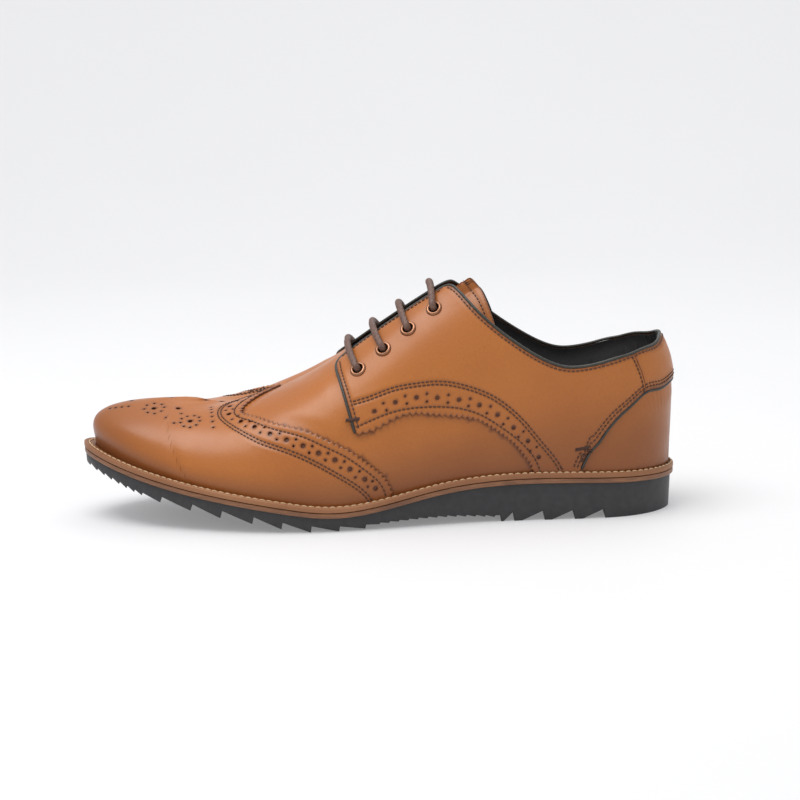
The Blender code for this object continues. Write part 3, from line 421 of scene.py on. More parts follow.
def on_side(sign, run):
    return [(x, -sign * t) for x, t in run]


def foot_line(start, end):
    """A run along the margin between two x positions."""
    count = max(2, int(abs(end - start) / 12))
    return [(x, -MARGIN) for x in np.linspace(start, end, count + 1)]


def round_end(start, heel):
    """The margin round the toe or the heel, from the outer side to the inner one."""
    reach = RIDGE_HALF * (1 - MARGIN) + OUTLINE_HALF * MARGIN
    middle = RIDGE_MIDDLE * (1 - MARGIN) + OUTLINE_MIDDLE * MARGIN
    first = float(turn_at(start, MARGIN))
    last = pi if heel else 0.0
    half = [(middle - reach * cos(first + (last - first) * k / 16), -MARGIN) for k in range(16)]
    return half + [(middle - reach * cos(last), 0.0)] + mirrored(half)


def gimped(route, pitch=2.9, depth=1.6):
    """A flat route with saw teeth cut into it, to its left."""
    count = max(1, round(float(np.linalg.norm(np.diff(on_last(route), axis=0), axis=1).sum()) / pitch))
    route = evenly(route, float(np.linalg.norm(np.diff(route, axis=0), axis=1).sum()) / count / 4)
    tooth = np.abs((np.arange(len(route)) / 4) % 1 - 0.5) * 2
    return sideways(route, (1 - tooth) * depth)


def loop_through(runs, step=1.1):
    """A closed flat loop through runs of pattern points. A run marked True is gimped."""
    loop = []
    for run in runs:
        run, teeth = run if isinstance(run, tuple) else (run, False)
        route = traced(run, step)
        loop.append((gimped(route) if teeth else route)[:-1])
    return np.vstack(loop)


def inside(points, loop):
    """Which points lie inside a closed loop."""
    within = np.zeros(len(points), bool)
    ax, ay = loop[:, 0], loop[:, 1]
    bx, by = np.roll(ax, -1), np.roll(ay, -1)
    rise = np.where(by == ay, 1e-12, by - ay)
    for k in range(0, len(points), 3000):
        x, y = points[k : k + 3000, 0, None], points[k : k + 3000, 1, None]
        spans = (ay > y) != (by > y)
        within[k : k + 3000] = (spans & (x < ax + (y - ay) * (bx - ax) / rise)).sum(axis=1) % 2 == 1
    return within


def tree_of(points):
    tree = kdtree.KDTree(max(1, len(points)))
    for k, point in enumerate(points):
        tree.insert(Vector((*point, 0)[:3]), k)
    tree.balance()
    return tree


def nearest(tree, points):
    return np.array([tree.find(Vector((*p, 0)[:3]))[2] for p in points])


def punch(point, radius):
    """A round hole: its flat centre, its radius and its flat outline."""
    first, second = metric(point)
    sides = 12 if radius < 1.5 else 24
    turns = np.arange(sides) * 2 * pi / sides
    loop = point + np.outer(np.cos(turns), first) * radius + np.outer(np.sin(turns), second) * radius
    return np.array(point), radius, loop


def triangles_between(loop, holes, lines, fine=0.85, coarse=2.6, band=2.2):
    """Flat points and triangles inside the loop and outside the holes, closer together by edges and seams."""
    features = np.vstack([loop, *[h[2] for h in holes], *[evenly(line, 0.8) for line in lines]])
    near, edges_only = tree_of(features), tree_of(np.vstack([loop, *[h[2] for h in holes]]))
    low, high = loop.min(0), loop.max(0)
    chosen = []
    for step, least, most in ((fine, 0.0, band), (coarse, band, 1e9)):
        x, y = np.meshgrid(np.arange(low[0], high[0], step), np.arange(low[1], high[1], step * 0.866))
        x = x + (np.arange(len(x)) % 2)[:, None] * step / 2
        grid = np.column_stack([x.ravel(), y.ravel()])
        distance = nearest(near, grid)
        grid = grid[(distance > least) & (distance <= most)]
        grid = grid[nearest(edges_only, grid) > 0.5 * fine]
        chosen.append(grid[inside(grid, loop)])
    grid = np.vstack(chosen)
    for centre, radius, outline in holes:
        grid = grid[np.linalg.norm(grid - centre, axis=1) > radius + 0.3]
    points, edges = list(grid), []
    for ring in [loop] + [h[2] for h in holes]:
        first = len(points)
        points.extend(ring)
        edges += [(first + k, first + (k + 1) % len(ring)) for k in range(len(ring))]
    vertices, _, faces = delaunay_2d_cdt([Vector(p) for p in points], edges, [], 1, 1e-4)[:3]
    vertices, faces = np.array([tuple(v) for v in vertices]), np.array(faces)
    middles = vertices[faces].mean(axis=1)
    keep = np.ones(len(faces), bool)
    for centre, radius, outline in holes:
        close = np.linalg.norm(middles - centre, axis=1) < radius * 2
        keep[np.flatnonzero(close)[inside(middles[close], outline)]] = False
    return vertices, faces[keep]


def mesh_piece(name, points, faces, material, sharp=None, attributes=None):
    """A piece made of points in millimetres."""
    mesh = bpy.data.meshes.new(name)
    mesh.from_pydata((np.asarray(points) * MM).tolist(), [], [list(map(int, f)) for f in faces])
    mesh.materials.append(material)
    mesh.shade_smooth()
    if sharp:
        mesh.set_sharp_from_angle(angle=radians(sharp))
    for key, values in (attributes or {}).items():
        mesh.attributes.new(key, "FLOAT", "POINT").data.foreach_set("value", values.astype(np.float32))
    thing = bpy.data.objects.new(name, mesh)
    bpy.context.scene.collection.objects.link(thing)
    return thing


def ease(value, start, end):
    share = np.clip((value - start) / (end - start), 0, 1)
    return share * share * (3 - 2 * share)


def panel(name, runs, top, thickness, material, holes=(), lines=(), hems=(), covers=(), fine=0.85, coarse=2.6,
          rounding=0.35):
    """A piece of leather laid over the last: cut edges rounded, punched, and pulled down along its seams.

    top is the lift of the face, or a function of the flat points. lines are flat seam routes that dent it.
    hems are (flat route, drop, width): the piece sinks by drop within that width of the route.
    """
    loop = loop_through(runs)
    flat_points, faces = triangles_between(loop, holes, lines, fine, coarse)
    places = surface(flat_points)
    lift = top(flat_points) if callable(top) else np.full(len(flat_points), float(top))
    for route, drop, width in hems:
        distance = nearest(tree_of(surface(evenly(route, 0.8))), places)
        lift = lift - drop * (1 - ease(distance, width * 0.4, width))
    low = lift - thickness
    rim_distance = nearest(tree_of(surface(loop)), places)
    lift = lift - rounding * np.clip(1 - rim_distance / 0.9, 0, 1) ** 2
    # Darker towards the cut edge: the raw edge's own darker colour, plus painted shade along the edge's step.
    edge_dye_and_shade = np.exp(-rim_distance / 0.55)
    if holes:
        hole_points = np.vstack([h[2] for h in holes])
        distance = nearest(tree_of(surface(hole_points)), places)
        lift = lift - 0.16 * np.exp(-((distance / 0.55) ** 2))
        # Darker round the punched holes: their cut edges' own colour plus painted shade in the holes.
        edge_dye_and_shade = np.maximum(edge_dye_and_shade, np.exp(-distance / 0.4))
    if lines:
        distance = nearest(tree_of(surface(np.vstack([evenly(line, 0.5) for line in lines]))), places)
        lift = lift - 0.3 * np.exp(-((distance / 0.75) ** 2)) + 0.1 * np.exp(-(((distance - 1.7) / 0.9) ** 2))
        # Painted shade along the seam grooves.
        edge_dye_and_shade = np.maximum(edge_dye_and_shade, 0.42 * np.exp(-((distance / 0.7) ** 2)))
    share = np.abs(unflat(flat_points)[1])
    # Painted shade low on the side, darker towards the welt.
    edge_dye_and_shade = np.maximum(edge_dye_and_shade, 0.6 * ease(share, 0.80, 1.01))
    # Painted shade under the pieces that lie over this one, seen through their holes.
    for cover in covers:
        edge_dye_and_shade = np.maximum(edge_dye_and_shade, inside(flat_points, cover) * 1.0)
    count = len(flat_points)
    ends = np.sort(np.vstack([faces[:, [0, 1]], faces[:, [1, 2]], faces[:, [2, 0]]]), axis=1)
    walks = np.vstack([faces[:, [0, 1]], faces[:, [1, 2]], faces[:, [2, 0]]])
    _, index, uses = np.unique(ends, axis=0, return_inverse=True, return_counts=True)
    rim = walks[uses[index.reshape(-1)] == 1]
    walls = [(b, a, a + count, b + count) for a, b in rim]
    faces = [tuple(f) for f in faces] + [tuple(f[::-1] + count) for f in faces] + walls
    both = np.vstack([on_last(flat_points, lift), on_last(flat_points, low)])
    return mesh_piece(name, both, faces, material, 50, {"edge_dye_and_shade": np.concatenate([edge_dye_and_shade, edge_dye_and_shade])})


def seam(run, offset=0.0):
    """A flat route through pattern points, moved to its left."""
    route = traced(run, 1.0)
    return sideways(route, offset) if offset else route


def stitch_piece(name, rows, material, pitch=2.2, radius=0.33, fill=0.8, lift=1.0, normals=None):
    """Rows of thread lying on the last: each stitch dives at both ends. rows are flat or, with normals, solid."""
    rings = np.array([-0.5, -0.38, 0.0, 0.38, 0.5])
    widths, heights = np.array([0.3, 0.85, 1.0, 0.85, 0.3]), np.array([-1.1, -0.1, 0.3, -0.1, -1.1])
    turns = np.arange(6) * pi / 3
    points, faces = [], []
    for number, row in enumerate(rows):
        if normals is None:
            up_points = on_last(row, lift + 5)
            base = on_last(row, lift)
            ups = unit(up_points - base)
        else:
            base, ups = row, normals[number]
        length = np.concatenate([[0], np.cumsum(np.linalg.norm(np.diff(base, axis=0), axis=1))])
        count = max(1, int(length[-1] / pitch))
        middles = (np.arange(count) + 0.5) * length[-1] / count
        reach = length[-1] / count * fill / 2

        def read(values, at):
            return np.column_stack([np.interp(at, length, values[:, k]) for k in range(3)])

        centre, up = read(base, middles), unit(read(ups, middles))
        way = unit(read(base, middles + reach) - read(base, middles - reach))
        side = np.cross(up, way)
        for c, u, w, s in zip(centre, up, way, side):
            first = len(points)
            for ring, width, height in zip(rings, widths, heights):
                spot = c + w * ring * 2 * reach + u * height * radius
                points.extend(spot + (s * cos(a) + u * sin(a) * 0.8) * radius * width for a in turns)
            for k in range(4):
                for j in range(6):
                    a, b = first + k * 6 + j, first + k * 6 + (j + 1) % 6
                    faces.append((a, b, b + 6, a + 6))
            faces.append(tuple(first + j for j in range(5, -1, -1)))
            faces.append(tuple(first + 24 + j for j in range(6)))
    return mesh_piece(name, points, faces, material)


# Materials
def node(tree, kind, inputs=None, **settings):
    made = tree.nodes.new(kind)
    for key, value in settings.items():
        setattr(made, key, value)
    for key, value in (inputs or {}).items():
        if isinstance(value, bpy.types.NodeSocket):
            tree.links.new(value, made.inputs[key])
        else:
            made.inputs[key].default_value = value
    return made


def blank(name, roughness, metallic=0.0, coat=0.0, coat_roughness=0.3, sheen=0.0, specular=0.5):
    made = bpy.data.materials.new(name)
    made.use_nodes = True
    tree = made.node_tree
    shader = tree.nodes["Principled BSDF"]
    shader.inputs["Roughness"].default_value = roughness
    shader.inputs["Metallic"].default_value = metallic
    shader.inputs["Coat Weight"].default_value = coat
    shader.inputs["Coat Roughness"].default_value = coat_roughness
    shader.inputs["Sheen Weight"].default_value = sheen
    shader.inputs["Specular IOR Level"].default_value = specular
    where = node(tree, "ShaderNodeTexCoord").outputs["Object"]
    return made, tree, shader, where


def mixed(tree, share, first, second):
    made = node(tree, "ShaderNodeMix", data_type="RGBA")
    for socket, value in ((made.inputs[0], share), (made.inputs[6], first), (made.inputs[7], second)):
        if isinstance(value, bpy.types.NodeSocket):
            tree.links.new(value, socket)
        else:
            socket.default_value = (*value, 1) if isinstance(value, tuple) else value
    return made.outputs[2]


def noise(tree, where, scale, detail=3.0, roughness=0.5):
    return node(
        tree, "ShaderNodeTexNoise", {"Vector": where, "Scale": scale, "Detail": detail, "Roughness": roughness}
    ).outputs["Fac"]


def ranged(tree, value, low, high, to_low=0.0, to_high=1.0):
    made = node(tree, "ShaderNodeMapRange", {"Value": value, "From Min": low, "From Max": high})
    made.inputs["To Min"].default_value, made.inputs["To Max"].default_value = to_low, to_high
    return made.outputs["Result"]


def added(tree, first, second, operation="ADD"):
    return node(tree, "ShaderNodeMath", {0: first, 1: second}, operation=operation).outputs[0]


def bumped(tree, shader, height, strength, distance):
    bump = node(tree, "ShaderNodeBump", {"Height": height, "Strength": strength, "Distance": distance * MM})
    tree.links.new(bump.outputs["Normal"], shader.inputs["Normal"])


def leather_material(name, light, deep, dark, roughness=0.4, grain=1.0, toe=0.0, coat=0.2):
    """Dyed leather: slow changes of tone, fine pores, a burnish towards the toe, and darker cut edges with painted
    shade in holes, seams, covered parts and low on the sides.
    """
    made, tree, shader, where = blank(name, roughness, coat=coat, coat_roughness=0.27, specular=0.32)
    cloud = ranged(tree, noise(tree, where, 18.0, 3.0), 0.3, 0.72)
    fleck = ranged(tree, noise(tree, where, 900.0, 3.0), 0.4, 0.8, 0.0, 0.12)
    colour = mixed(tree, cloud, light, deep)
    colour = mixed(tree, fleck, colour, dark)
    # The attribute read here darkens the colour: the cut edges' own darker colour plus painted shade in holes, seam
    # grooves, covered parts and low on the sides.
    edge_and_shade_fac = node(tree, "ShaderNodeAttribute", attribute_name="edge_dye_and_shade").outputs["Fac"]
    colour = mixed(tree, added(tree, edge_and_shade_fac, 0.8, "MULTIPLY"), colour, dark)
    if toe:
        along_x = node(tree, "ShaderNodeSeparateXYZ", {"Vector": where}).outputs["X"]
        colour = mixed(tree, ranged(tree, along_x, -0.095, -0.150, 0.0, toe), colour, dark)
    tree.links.new(colour, shader.inputs["Base Color"])
    tree.links.new(
        ranged(tree, noise(tree, where, 70.0, 4.0), 0.3, 0.7, roughness - 0.06, roughness + 0.08),
        shader.inputs["Roughness"],
    )
    pores = node(
        tree, "ShaderNodeTexVoronoi", {"Vector": where, "Scale": 1100.0}, feature="SMOOTH_F1"
    ).outputs["Distance"]
    creases = noise(tree, where, 160.0, 5.0, 0.6)
    height = added(tree, added(tree, pores, 0.5, "MULTIPLY"), added(tree, creases, 0.9, "MULTIPLY"))
    bumped(tree, shader, height, 0.3 * grain, 0.12)
    return made


def plain_material(name, light, dark, roughness, scale=300.0, bump=0.2, depth=0.1, **others):
    """A mottled surface with a fine texture."""
    made, tree, shader, where = blank(name, roughness, **others)
    speckle = ranged(tree, noise(tree, where, scale, 5.0), 0.35, 0.7)
    tree.links.new(mixed(tree, speckle, light, dark), shader.inputs["Base Color"])
    tree.links.new(
        ranged(tree, noise(tree, where, scale / 6, 3.0), 0.3, 0.7, roughness - 0.05, roughness + 0.07),
        shader.inputs["Roughness"],
    )
    bumped(tree, shader, noise(tree, where, scale * 3, 4.0, 0.6), bump, depth)
    return made


def edge_material(name, light, dark, roughness):
    """The cut edge of stacked leather: fibres in layers along the sole."""
    made, tree, shader, where = blank(name, roughness, coat=0.1)
    layers = node(tree, "ShaderNodeMapping", {"Vector": where, "Scale": (30.0, 30.0, 900.0)}).outputs["Vector"]
    fibre = ranged(tree, noise(tree, layers, 4.0, 5.0, 0.65), 0.3, 0.72)
    blotch = ranged(tree, noise(tree, where, 60.0, 4.0), 0.42, 0.7, 0.0, 0.55)
    colour = mixed(tree, blotch, mixed(tree, fibre, light, dark), dark)
    tree.links.new(colour, shader.inputs["Base Color"])
    bumped(tree, shader, fibre, 0.35, 0.15)
    return made


def weave_material(name, light, dark, pitch, roughness=0.8, sheen=0.2):
    """Woven cloth with threads both ways."""
    made, tree, shader, where = blank(name, roughness, sheen=sheen)
    waves = []
    for direction in ("X", "Z"):
        wave = node(
            tree, "ShaderNodeTexWave",
            {"Vector": where, "Scale": 1000 / pitch / 6.2832, "Distortion": 0.6, "Detail": 1.0},
            wave_type="BANDS", bands_direction=direction,
        )
        waves.append(wave.outputs["Fac"])
    threads = added(tree, waves[0], waves[1], "MAXIMUM")
    tree.links.new(mixed(tree, threads, dark, light), shader.inputs["Base Color"])
    bumped(tree, shader, threads, 0.5, 0.2)
    return made


TAN = leather_material("tan_leather", (0.435, 0.140, 0.024), (0.375, 0.112, 0.018), (0.085, 0.021, 0.007), 0.38, toe=0.45, coat=0.25)
# Dark brown for the sheet under the toe cap: painted shade seen through the cap's holes.
HOLE_SHADE_BACKING = leather_material("hole_shade_backing", (0.17, 0.06, 0.022), (0.12, 0.04, 0.015), (0.05, 0.018, 0.008), 0.6)
BLACK_LINING = plain_material("black_lining", (0.010, 0.0075, 0.007), (0.006, 0.005, 0.005), 0.65, 500, 0.35, 0.15)
SOCK = leather_material("sock_leather", (0.022, 0.02, 0.02), (0.014, 0.013, 0.013), (0.006, 0.006, 0.006), 0.5, 0.8, coat=0.0)
PIPING = plain_material("black_piping", (0.040, 0.038, 0.030), (0.020, 0.019, 0.015), 0.40, 700, 0.3, 0.08)
THREAD = plain_material("dark_thread", (0.085, 0.03, 0.014), (0.04, 0.014, 0.008), 0.55, 1500, 0.4, 0.05)
WELT_THREAD = plain_material("pale_thread", (0.66, 0.46, 0.27), (0.42, 0.26, 0.14), 0.55, 1500, 0.4, 0.05)
WELT = leather_material("welt_leather", (0.34, 0.150, 0.066), (0.25, 0.102, 0.042), (0.07, 0.026, 0.012), 0.5, 1.4, coat=0.1)
STACK = edge_material("stacked_leather", (0.34, 0.145, 0.06), (0.10, 0.038, 0.016), 0.48)
RUBBER = plain_material("rubber", (0.030, 0.029, 0.031), (0.020, 0.020, 0.022), 0.5, 260, 0.15, 0.08)
LACE = plain_material("waxed_lace", (0.165, 0.088, 0.064), (0.085, 0.042, 0.030), 0.5, 900, 0.35, 0.08)
LACE_TIP = plain_material("lace_tip", (0.06, 0.03, 0.02), (0.04, 0.02, 0.015), 0.25, 600, 0.1, 0.03, coat=0.4)
BRASS = plain_material("antique_brass", (0.36, 0.18, 0.105), (0.22, 0.10, 0.055), 0.33, 350, 0.12, 0.03, metallic=1.0)
STIFF = plain_material("stiffener", (0.55, 0.50, 0.42), (0.42, 0.37, 0.30), 0.85, 400, 0.4, 0.2)
CORK = plain_material("cork", (0.42, 0.25, 0.13), (0.18, 0.09, 0.045), 0.9, 350, 0.6, 0.4)
STEEL = plain_material("spring_steel", (0.50, 0.50, 0.52), (0.38, 0.38, 0.40), 0.33, 500, 0.1, 0.03, metallic=1.0)
BOARD = plain_material("fibre_board", (0.44, 0.32, 0.20), (0.30, 0.20, 0.12), 0.88, 500, 0.4, 0.2)
FOAM = plain_material("foam", (0.07, 0.07, 0.08), (0.03, 0.03, 0.035), 0.9, 900, 0.6, 0.3)
CLOTH = weave_material("vamp_lining_cloth", (0.03, 0.028, 0.028), (0.01, 0.009, 0.009), 0.7)

KEPT = {
    "cork_filler": CORK, "shank": STEEL, "insole_board": BOARD, "heel_pad": FOAM, "sock_liner": SOCK,
    "vamp_lining": CLOTH, "toe_puff": STIFF, "heel_stiffener": STIFF, "lateral_facing_stay": STIFF,
    "medial_facing_stay": STIFF, "first_aglet": LACE_TIP, "last_aglet": LACE_TIP,
}
for name, material in KEPT.items():
    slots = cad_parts[name].material_slots
    for slot in slots:
        slot.material = material


def worn_by(thing, body, slot, *nodes):
    """The piece rides on this body and stands for these nodes. The slot is not used."""
    if body:
        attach(thing, body)
    if nodes:
        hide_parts(*nodes)
    return thing


# The upper
OVER_TOP, OVER_THICKNESS = 1.05, 1.05
UNDER_TOP, UNDER_THICKNESS = 0.3, 0.7
SMALL_HOLE, BIG_HOLE = 0.55, 1.15


def punched_row(run, big, small, small_side):
    """Big holes along a run of pattern points, with a pair of small ones between neighbours."""
    centres = flat(run)
    holes = [punch(point, big) for point in centres]
    for a, b in zip(centres, centres[1:]):
        between = np.array([a, (a + b) / 2, b])
        holes += [punch(sideways(between, side)[1], small) for side in (-small_side, small_side)]
    return holes


def both_sides(x, t):
    """The place on the cap, and its mirror image unless it is on the middle line."""
    return flat([(x, t), (x, -t)] if t else [(x, 0.0)])


def punched_ring(x, t, radius, count):
    """Small holes evenly spaced on a circle, on both sides."""
    holes = []
    for middle in both_sides(x, t):
        along, across = metric(middle)
        for angle in np.arange(count) * 2 * pi / count:
            holes.append(punch(middle + radius * (along * cos(angle) + across * sin(angle)), SMALL_HOLE))
    return holes


def toe_holes():
    """The band's row, and the medallion: flowers, a ring and single holes between rows of small ones."""
    holes = punched_row(mirrored(WING_PUNCHES)[:-1] + WING_PUNCHES, BIG_HOLE, SMALL_HOLE, 1.8)
    for flower in MEDALLION_FLOWERS + [MEDALLION_RING]:
        holes += punched_ring(*flower)
    for x, t in [flower[:2] for flower in MEDALLION_FLOWERS] + MEDALLION_SINGLES:
        holes += [punch(point, BIG_HOLE) for point in both_sides(x, t)]
    for start, end, count in MEDALLION_ROWS:
        for x, t in np.linspace(start, end, count):
            holes += [punch(point, SMALL_HOLE) for point in both_sides(x, t)]
    return holes


def quarter_runs(sign):
    runs = [
        FACING_FRONT, FACING_EDGE, FACING_TOP, TOPLINE[: TAB_SEAM_AT + 1], TAB_SEAM, COUNTER_SEAM,
        foot_line(COUNTER_SEAM[-1][0], QUARTER_FOOT[0][0]), (QUARTER_FOOT, True),
    ]
    if sign < 0:
        return runs
    return [(mirrored(run[0]), True) if isinstance(run, tuple) else mirrored(run) for run in reversed(runs)]


cap_edge = seam(mirrored(CAP_BACK)[:-1] + CAP_BACK)
quarter_edges = {s: seam(on_side(s, QUARTER_FOOT)) for s in (-1, 1)}
front_edges = {s: seam(on_side(s, FACING_FRONT)) for s in (-1, 1)}
wing_front = [seam(mirrored(WING_INNER_SEAM)[:-1] + WING_INNER_SEAM, side) for side in (0.0, 1.6)]


def inner_way(route, sample, distance):
    """A route moved by a distance towards a flat sample point."""
    moved = sideways(route, distance)
    other = sideways(route, -distance)
    middle = len(route) // 2
    near = np.linalg.norm(moved[middle] - sample) < np.linalg.norm(other[middle] - sample)
    return moved if near else other


cap_sample = flat([(-90.0, 0.0)])[0]
wing_rows = [inner_way(cap_edge, cap_sample, 2.9)[3:-3]] + wing_front
cap = panel(
    "wing_cap_leather", [(CAP_BACK, True), round_end(CAP_BACK[-1][0], False), (mirrored(CAP_BACK), True)],
    OVER_TOP, OVER_THICKNESS, TAN, toe_holes(), wing_rows,
)
worn_by(cap, "shoe", "tan_leather", "wing_cap")
# A dark sheet under the toe cap, for painted shade in the cap's holes.
hole_shade_sheet = panel(
    "cap_hole_shade_sheet",
    [
        [(x - 6, t) for x, t in WING_INNER_SEAM[:-2]] + [(-16, -MARGIN)], round_end(-16, False),
        mirrored([(x - 6, t) for x, t in WING_INNER_SEAM[:-2]] + [(-16, -MARGIN)]),
    ],
    -0.45, 0.5, HOLE_SHADE_BACKING, coarse=5.0, fine=2.5,
)
worn_by(hole_shade_sheet, "shoe", "tan_leather")

vamp_back = [(x, t + 0.05 * (1 if 0 <= x <= 72 else 0)) for x, t in VAMP_BACK]
vamp_runs = [vamp_back, foot_line(vamp_back[-1][0], VAMP_FRONT[-1][0]), VAMP_FRONT[::-1]]
hems = [(cap_edge, 0.55, 9.0)] + [(quarter_edges[s], 0.55, 9.0) for s in (-1, 1)]
hems += [(front_edges[s], 0.55, 9.0) for s in (-1, 1)]
cap_runs = [(CAP_BACK, True), round_end(CAP_BACK[-1][0], False), (mirrored(CAP_BACK), True)]
covers = [loop_through(cap_runs)] + [loop_through(quarter_runs(sign)) for sign in (-1, 1)]
vamp = panel(
    "vamp_leather", vamp_runs + [mirrored(run) for run in reversed(vamp_runs)], UNDER_TOP, UNDER_THICKNESS, TAN,
    hems=hems, covers=covers, fine=1.3, coarse=2.4,
)
worn_by(vamp, "shoe", "tan_leather", "vamp")

BAND_PUNCHES = [
    (-0.0, -0.644), (9.6, -0.645), (19.3, -0.663), (28.8, -0.696), (38.9, -0.732), (48.6, -0.774), (57.4, -0.824),
    (65.6, -0.877), (73.3, -0.924), (79.4, -0.969),
]
stitch_rows = list(wing_rows)
for name, sign in (("lateral", -1), ("medial", 1)):
    runs = quarter_runs(sign)
    middle = flat([(30.0, 0.5 * sign)])[0]
    holes = [punch(point, 2.9) for point in flat(on_side(sign, [(x, -t) for x, t in EYELETS]))]
    holes += punched_row(on_side(sign, BAND_PUNCHES), 1.0, 0.5, 1.9)
    top_row = seam(on_side(sign, BAND_TOP_SEAM))
    rows = [top_row, inner_way(top_row, middle, 1.6), seam(on_side(sign, BAND_FOOT_SEAM))]
    edge = seam(on_side(sign, FACING_FRONT[:-1]))
    rows.append(inner_way(edge, middle, 1.7)[2:])
    rows.append(inner_way(seam(on_side(sign, FACING_EDGE)), middle, 1.3))
    rows.append(inner_way(seam(on_side(sign, FACING_TOP[1:] + TOPLINE[1 : TAB_SEAM_AT + 1])), middle, 1.2))
    counter = seam(on_side(sign, COUNTER_SEAM[:-1]))
    rows += [inner_way(counter, middle, d) for d in (1.8, 3.5)]
    rows.append(inner_way(seam(on_side(sign, TAB_SEAM)), middle, 1.3))
    quarter = panel(
        name + "_quarter_leather", runs, OVER_TOP, OVER_THICKNESS, TAN, holes, rows,
    )
    worn_by(quarter, "shoe", "tan_leather", name + "_quarter")
    stitch_rows += rows

tab_top = TOPLINE[TAB_SEAM_AT:] + mirrored(TOPLINE[TAB_SEAM_AT:])[1:]
tab_foot = COUNTER_BACK + mirrored(COUNTER_BACK)[1:]
tab_middle = flat([back_centre(0.79)])[0]
tab_rows = [inner_way(seam(tab_foot), tab_middle, d) for d in (1.8, 3.5)]
tab_rows.append(inner_way(seam(tab_top), tab_middle, 1.2))
tab = panel(
    "back_tab_leather", [TAB_SEAM[::-1], tab_top, mirrored(TAB_SEAM[::-1]), tab_foot[::-1]], OVER_TOP,
    OVER_THICKNESS, TAN, (), tab_rows,
)
worn_by(tab, "shoe", "tan_leather", "back_tab")
stitch_rows += tab_rows

counter_edge = seam(COUNTER_SEAM[:-1][::-1] + COUNTER_BACK[1:])
foxing_top = FOXING_TOP + mirrored(FOXING_TOP)[1:]
foxing = panel(
    "heel_foxing_leather", [foxing_top, round_end(FOXING_TOP[0][0], True)[::-1]], UNDER_TOP, UNDER_THICKNESS, TAN,
    hems=[(counter_edge, 0.5, 6.0), (sideways(counter_edge, 0) * (1, -1), 0.5, 6.0)], fine=1.3, coarse=2.4,
)
worn_by(foxing, "shoe", "tan_leather", "heel_foxing")

worn_by(stitch_piece("upper_stitches", stitch_rows, THREAD, lift=OVER_TOP - 0.02), "shoe", "dark_thread")

# The lining rises to the quarters along its top edge
LINING_TOP, LINING_EDGE, LINING_THICKNESS = -4.0, -0.25, 0.8
lining_front = LINING_FRONT + [(-13.2, -0.15)]
lining_side = [lining_front, [lining_front[-1]] + FACING_EDGE[1:], FACING_TOP, TOPLINE]
lining_rim = tree_of(surface(np.vstack([seam(r) * (1, s) for r in lining_side[1:] for s in (1, -1)])))


def lining_lift(points):
    distance = nearest(lining_rim, surface(points))
    return LINING_TOP + (LINING_EDGE - LINING_TOP) * (1 - ease(distance, 1.0, 13.0))


lining = panel(
    "quarter_lining_leather",
    lining_side + [mirrored(run) for run in reversed(lining_side)] + [round_end(lining_front[0][0], True)[::-1]],
    lining_lift, LINING_THICKNESS, BLACK_LINING,
    [punch(point, 2.9) for s in (-1, 1) for point in flat(on_side(s, [(x, -t) for x, t in EYELETS]))],
    fine=1.3, coarse=3.0,
)
worn_by(lining, "shoe", "black_lining", "quarter_lining")

# The tongue
TONGUE_CENTRE, TONGUE_LOW, TONGUE_THICKNESS = -5.6, -10.6, 1.2


def tongue_lift(points):
    return TONGUE_CENTRE + (TONGUE_LOW - TONGUE_CENTRE) * ease(np.abs(points[:, 1]), 1.0, 8.5)


tongue_runs = [TONGUE_SIDE_EDGE, TONGUE_END]
tongue_runs += [mirrored(run) for run in reversed(tongue_runs)] + [[(-19, 0.28), (-21, 0), (-19, -0.28)]]
tongue_end = seam(TONGUE_END + mirrored(TONGUE_END)[1:])
tongue_row = inner_way(tongue_end, flat([(20.0, 0.0)])[0], 3.5)[2:-2]
tongue = panel("tongue_leather", tongue_runs, tongue_lift, TONGUE_THICKNESS, TAN, (), [tongue_row], fine=1.0)
under = panel(
    "tongue_lining_cloth", tongue_runs, lambda p: tongue_lift(p) - 1.45, 0.9, BLACK_LINING, fine=1.3, coarse=3.0
)
tongue_thread = stitch_piece("tongue_stitches", [tongue_row], THREAD, lift=tongue_lift(tongue_row) - 0.1)
for piece, slot_name, nodes in (
    (tongue, "tan_leather", ["tongue"]), (under, "black_lining", ["tongue_lining"]),
    (tongue_thread, "dark_thread", []),
):
    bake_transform(piece)
    worn_by(piece, None, slot_name, *nodes)


# Tubes: piping, lace
def frames(route):
    """Two directions across a route at each point, turning as little as they can."""
    way = unit(np.gradient(route, axis=0))
    first = np.cross(way[0], (0, 0, 1.0))
    if np.linalg.norm(first) < 0.1:
        first = np.cross(way[0], (0, 1.0, 0))
    firsts = []
    for w in way:
        first = first - w * (first @ w)
        first = first / np.linalg.norm(first)
        firsts.append(first)
    firsts = np.array(firsts)
    return firsts, np.cross(way, firsts)


